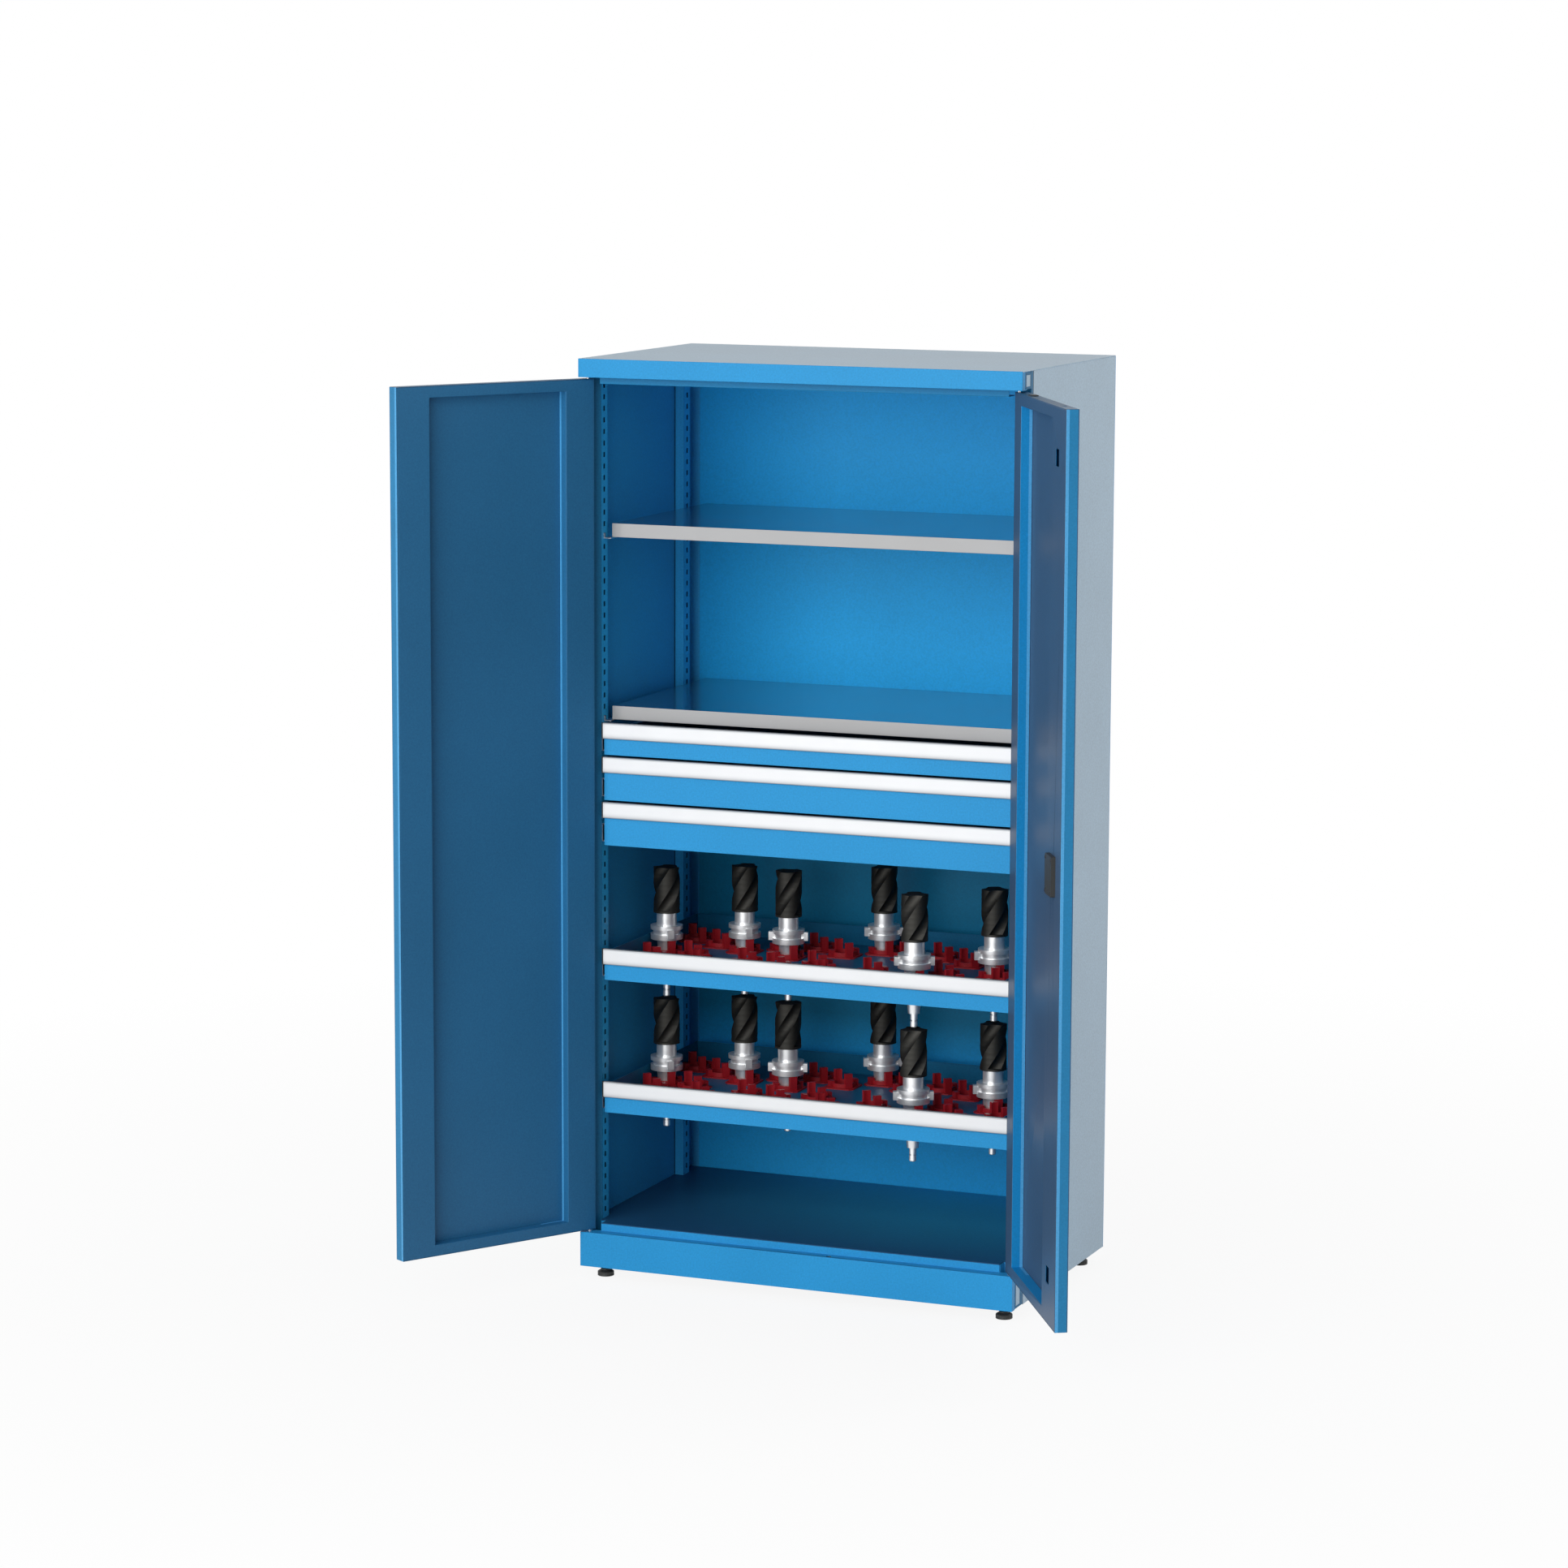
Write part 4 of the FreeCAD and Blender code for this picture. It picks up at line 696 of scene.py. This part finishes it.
PANEL_FOLD = -0.2985


def depth_when_closed(place):
    """How far back a place on an open door lies once the door is shut."""
    return (
        HINGE_LINE.y
        - (place.part("X").size() - HINGE_LINE.x) * math.sin(DOOR_ANGLE)
        + (place.part("Y") - HINGE_LINE.y) * math.cos(DOOR_ANGLE)
    )


def from_hinge(place):
    """How far a place on an open door lies from its hinge."""
    return (
        (HINGE_LINE.x - place.part("X").size()) * math.cos(DOOR_ANGLE)
        - (place.part("Y") - HINGE_LINE.y) * math.sin(DOOR_ANGLE)
    )


def fold_highlights(place):
    """1 on the rounded folds at a door's free edge and beside its panel, where a highlight is
    painted.
    """
    depth = depth_when_closed(place)
    reach = from_hinge(place)
    edge_bend = reach.above(FREE_EDGE_BEND) * depth.above(FREE_EDGE_FOLD)
    panel_side = (HINGE_STILE - reach).above(0.0) * (PANEL_FOLD - depth).above(0.0)
    return (edge_bend + panel_side).clamped()


def free_edge(place):
    """1 on the narrow face where the two doors meet, up to its fold."""
    before_fold = (FREE_EDGE_FOLD - depth_when_closed(place)).above(0.0)
    return from_hinge(place).above(FREE_EDGE) * before_fold


def inner_faces(place):
    """1 on the faces that look into the closed cabinet, 0 on a door's edges and outside."""
    depth = depth_when_closed(place)
    return (depth.above(INNER_FACE) + depth.above(RECESS[0]) - depth.above(RECESS[1])).clamped()


def top_edge(place):
    """1 on the narrow top face of a door, which lies in the header's shade."""
    return place.part("Z").above(DOOR_TOP)


def outer_face(place):
    """1 on the face that shows when the doors are shut."""
    return 1.0 - depth_when_closed(place).above(OUTER_FACE)


# Each door's paint holds painted shade and light: darker blues on the recess walls, the free edge
# and the inner faces as painted shade, the right door's inner faces greyed as a painted
# reflection, and a painted highlight on the folds.
for side, wall_shade, face_shade in (
    ("left", LEFT_WALL_SHADE_BLUE, DOOR_SHADE_BLUE), ("right", RIGHT_WALL_SHADE_BLUE, DOOR_SHADE_REFLECTION_SLATE),
):
    door_paint = powder_coat(
        f"{side}_door_paint", wall_shade, 0.42, 0.3,
        coats=(
            (fold_highlights, FOLD_HIGHLIGHT_BLUE), (free_edge, EDGE_SHADE_BLUE), (inner_faces, face_shade),
            (outer_face, FRAME_BLUE), (top_edge, DOOR_TOP_BLUE),
        ),
    )
    dress(door_paint, f"{side}_door_skin", f"{side}_door_frame")
    dress(zinc, f"{side}_hinge_bushes")
    soften(0.0012, f"{side}_door_skin", f"{side}_door_frame")
dress(zinc, "hinge_pins")
dress(black_plastic, "door_top_buffer")


# ---------------------------------------------------------------- lock
# Espagnolette lock on the right door: two zinc-plated rods in plastic guides, a moulded case with
# four cross-head screws, a nickel key cylinder, and a black lever on a round rose outside.
nickel = bright_metal("nickel_plate", (0.70, 0.68, 0.65), 0.18)
handle_lacquer = moulded_plastic("black_lacquer", (0.03, 0.03, 0.032), 0.3)
dress(zinc, "upper_lock_rod", "lower_lock_rod")
dress(black_plastic, "lock_case", "rod_guides", "lock_rose")
dress(nickel, "lock_cylinder")
DOOR_SWING = (
    Matrix.Translation(HINGE_LINE)
    @ Matrix.Rotation(DOOR_ANGLE, 4, "Z")
    @ Matrix.Translation(-HINGE_LINE)
)
SPINDLE_PLACE = Vector((0.080, -0.3109, 1.041))
BOSS_MIDDLE = SPINDLE_PLACE + Vector((0.0, -0.0046, 0.0))
BOSS_RADIUS = 0.0108
BOSS_DEPTH = 0.0090
BOSS_CROWN = 0.0006
CROWN_SHARE = 0.93
ARM_ROOT = SPINDLE_PLACE + Vector((0.004, -0.0065, 0.0))
ARM_ROOT_SIZE = (0.016, 0.0064, 0.0205)
# Each step along the arm: its length, and how much the arm narrows in height and in thickness.
ARM_STEPS = (
    (0.022, 0.98, 1.0),
    (0.030, 0.94, 0.96),
    (0.030, 0.92, 0.94),
    (0.014, 0.93, 0.95),
    (0.006, 0.84, 0.86),
    (0.003, 0.62, 0.70),
)

lever = new_piece(
    "cylinder", vertices=32, radius=BOSS_RADIUS, depth=BOSS_DEPTH, rotation=(math.pi / 2, 0, 0),
    location=BOSS_MIDDLE,
)
choose(lambda middle, normal: normal.y < -0.9)
draw_out((0.0, -BOSS_CROWN, 0.0), (CROWN_SHARE, 1.0, CROWN_SHARE), BOSS_MIDDLE)
bpy.ops.object.mode_set(mode="OBJECT")
arm = new_piece("cube", size=1.0, location=ARM_ROOT, scale=ARM_ROOT_SIZE)
for reach, width, thickness in ARM_STEPS:
    choose(lambda middle, normal: normal.x > 0.9)
    draw_out((reach, 0.0, 0.0), (1.0, thickness, width), ARM_ROOT)
bpy.ops.object.mode_set(mode="OBJECT")
round_edges(arm, 0.0016)
modify(arm, "SUBSURF", levels=2, render_levels=2)
lever = joined([lever, arm])
lever.matrix_world = DOOR_SWING
finish_piece(lever, "lever_handle", handle_lacquer, "lock_handle_body")
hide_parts("lock_handle")

SPINDLE_MIDDLE = SPINDLE_PLACE + Vector((0.0, 0.0184, 0.0))
SPINDLE_RADIUS = 0.0069
SPINDLE_LENGTH = 0.0364
ROD_LINE_Y = -0.294
CAM_RADIUS = 0.0178
CAM_THICKNESS = 0.0048
CAM_RIM = 0.0025
CAM_HOLLOW = 0.0008

spindle = new_piece(
    "cylinder", vertices=24, radius=SPINDLE_RADIUS, depth=SPINDLE_LENGTH,
    rotation=(math.pi / 2, 0, 0), location=SPINDLE_MIDDLE,
)
bpy.ops.mesh.bevel(offset=0.0005, segments=1, affect="EDGES")
bpy.ops.object.mode_set(mode="OBJECT")
cam = new_piece(
    "cylinder", vertices=40, radius=CAM_RADIUS, depth=CAM_THICKNESS, rotation=(math.pi / 2, 0, 0),
    location=(SPINDLE_PLACE.x, ROD_LINE_Y, SPINDLE_PLACE.z),
)
choose(lambda middle, normal: abs(normal.y) > 0.9)
bpy.ops.mesh.inset(thickness=CAM_RIM, depth=-CAM_HOLLOW, use_individual=True)
bpy.ops.object.mode_set(mode="OBJECT")
spindle = joined([spindle, cam])
spindle.matrix_world = DOOR_SWING
finish_piece(spindle, "lock_spindle", zinc, "lock_handle_body")
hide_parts("lock_handle")

CASE_FACE = -0.2715
SCREW_PLACES = ((-0.025, 0.034), (0.025, 0.034), (-0.025, -0.034), (0.025, -0.034))
HEAD_RADIUS = 0.0034
HEAD_DEPTH = 0.0014
HEAD_STAND = 0.0004
DOME_RISE = 0.0005
DOME_SHARE = 0.72
CROSS_LENGTH = 0.0036
CROSS_WIDTH = 0.0008
CROSS_DEPTH = 0.0016
CROSS_MIDDLE = 0.0012

screws = []
for across, up in SCREW_PLACES:
    head_place = Vector((SPINDLE_PLACE.x + across, CASE_FACE + HEAD_STAND, SPINDLE_PLACE.z + up))
    head = new_piece(
        "cylinder", vertices=24, radius=HEAD_RADIUS, depth=HEAD_DEPTH,
        rotation=(-math.pi / 2, 0, 0), location=head_place,
    )
    choose(lambda middle, normal: normal.y > 0.9)
    draw_out((0.0, DOME_RISE, 0.0), (DOME_SHARE, 1.0, DOME_SHARE), head_place)
    bpy.ops.object.mode_set(mode="OBJECT")
    for length, height in ((CROSS_LENGTH, CROSS_WIDTH), (CROSS_WIDTH, CROSS_LENGTH)):
        blade = new_piece(
            "cube", size=1.0, location=head_place + Vector((0.0, CROSS_MIDDLE, 0.0)),
            scale=(length, CROSS_DEPTH, height),
        )
        bpy.ops.mesh.bevel(offset=0.0001, segments=1, affect="EDGES")
        bpy.ops.object.mode_set(mode="OBJECT")
        modify(head, "BOOLEAN", operation="DIFFERENCE", object=blade)
        bpy.data.objects.remove(blade)
    screws.append(head)
screws = joined(screws)
screws.matrix_world = DOOR_SWING
finish_piece(screws, "lock_case_screws", dark_steel, "right_door")


# ---------------------------------------------------------------- rod cups
# Two cups moulded in black plastic, pressed in behind the keeper holes of the plinth's ledge and
# the header's underside. Each takes the end of a lock rod when the lever is turned.
CUP_RADIUS = 0.0070
CUP_WALL = 0.0009
CUP_DEPTH = 0.0300
LOWER_CUP_MOUTH = 0.1053
UPPER_CUP_MOUTH = 1.9917

for end, mouth, inward in (("lower", LOWER_CUP_MOUTH, -1.0), ("upper", UPPER_CUP_MOUTH, 1.0)):
    cup = new_piece(
        "cylinder", vertices=40, radius=CUP_RADIUS, depth=CUP_DEPTH,
        location=(SPINDLE_PLACE.x, ROD_LINE_Y, mouth + inward * CUP_DEPTH / 2),
    )
    choose(lambda middle, normal: normal.z * inward < -0.9)
    bpy.ops.mesh.inset(thickness=CUP_WALL, depth=0.0)
    draw_out((0.0, 0.0, inward * (CUP_DEPTH - CUP_WALL)))
    bpy.ops.object.mode_set(mode="OBJECT")
    round_edges(cup, 0.0002)
    finish_piece(cup, f"{end}_rod_cup", black_plastic, "cabinet")


# ---------------------------------------------------------------- studio
# A white floor that keeps the cabinet's shadow, a white surround, a large soft lamp in front on
# the left and a smaller one behind on the right.
AMBIENT = 0.31
STUDIO_SIZE = 60.0
STUDIO_FLOOR_Z = -0.0005
STUDIO_GREY = (0.8, 0.8, 0.8, 1.0)
WHITE = (1.0, 1.0, 1.0, 1.0)
WHITE_AT_CABINET = 0.89
WHITE_PER_METRE = 0.03


def directly_seen(tree):
    """1 for what the eye, a mirror or glass sees, 0 for the light that falls on the cabinet."""
    path = tree.nodes.new("ShaderNodeLightPath")
    return (
        Wire(path.outputs["Is Camera Ray"])
        + Wire(path.outputs["Is Glossy Ray"])
        + Wire(path.outputs["Is Transmission Ray"])
    ).clamped()


bpy.ops.mesh.primitive_plane_add(size=STUDIO_SIZE, location=(0.0, 0.0, STUDIO_FLOOR_Z))
floor = bpy.context.object
floor.name = "studio_floor"
floor_finish, place = material("studio_white", Base_Color=STUDIO_GREY, Roughness=0.9)
tree = floor_finish.node_tree
floor_shader = Wire(tree.nodes["Principled BSDF"].outputs["BSDF"])
distance = place.node("ShaderNodeVectorMath", {0: place}, output="Value", operation="LENGTH")
whiteness = (WHITE_AT_CABINET + distance * WHITE_PER_METRE).clamped()
glow = place.node("ShaderNodeEmission", {"Color": WHITE, "Strength": 1.0})
mixed = place.node(
    "ShaderNodeMixShader", {0: directly_seen(tree) * whiteness, 1: floor_shader, 2: glow}
)
tree.links.new(mixed.socket, tree.nodes["Material Output"].inputs["Surface"])
floor.data.materials.append(floor_finish)

world = bpy.data.worlds.new("studio")
bpy.context.scene.world = world
world.use_nodes = True
background = world.node_tree.nodes["Background"]
background.inputs["Color"].default_value = WHITE
brightness = directly_seen(world.node_tree) * (1 - AMBIENT) + AMBIENT
world.node_tree.links.new(brightness.socket, background.inputs["Strength"])


def soft_box(name, place, size, power):
    """Square lamp that faces the middle of the cabinet."""
    data = bpy.data.lights.new(name, "AREA")
    data.shape = "SQUARE"
    data.size = size
    data.energy = power
    lamp = bpy.data.objects.new(name, data)
    bpy.context.scene.collection.objects.link(lamp)
    lamp.location = place
    lamp.rotation_mode = "QUATERNION"
    lamp.rotation_quaternion = (Vector((0.0, 0.0, 1.0)) - Vector(place)).to_track_quat("-Z", "Y")
    return lamp


soft_box("key_light", (-1.0, -6.6, 2.6), 6.0, 375.0)
soft_box("rim_light", (4.5, 4.0, 3.5), 2.5, 110.0)


# ---------------------------------------------------------------- camera
# A long lens from the front right, a little above the roof.
CAMERA_PLACE = Vector((3.750, -9.592, 2.664))
CAMERA_BEARING = math.radians(22.12)
CAMERA_DIP = math.radians(8.67)
CAMERA_ROLL = math.radians(-0.23)
LENS = 108.95

camera_data = bpy.data.cameras.new("camera")
camera_data.lens = LENS
camera_data.sensor_width = 36.0
camera_data.clip_start = 0.1
camera_data.clip_end = 200.0
camera = bpy.data.objects.new("camera", camera_data)
bpy.context.scene.collection.objects.link(camera)
turn = Matrix.Rotation(CAMERA_BEARING, 3, "Z") @ Matrix.Rotation(math.pi / 2 - CAMERA_DIP, 3, "X")
camera.matrix_world = Matrix.Translation(CAMERA_PLACE) @ (
    turn @ Matrix.Rotation(-CAMERA_ROLL, 3, "Z")
).to_4x4()
bpy.context.scene.camera = camera

bpy.context.scene.view_settings.view_transform = "Standard"
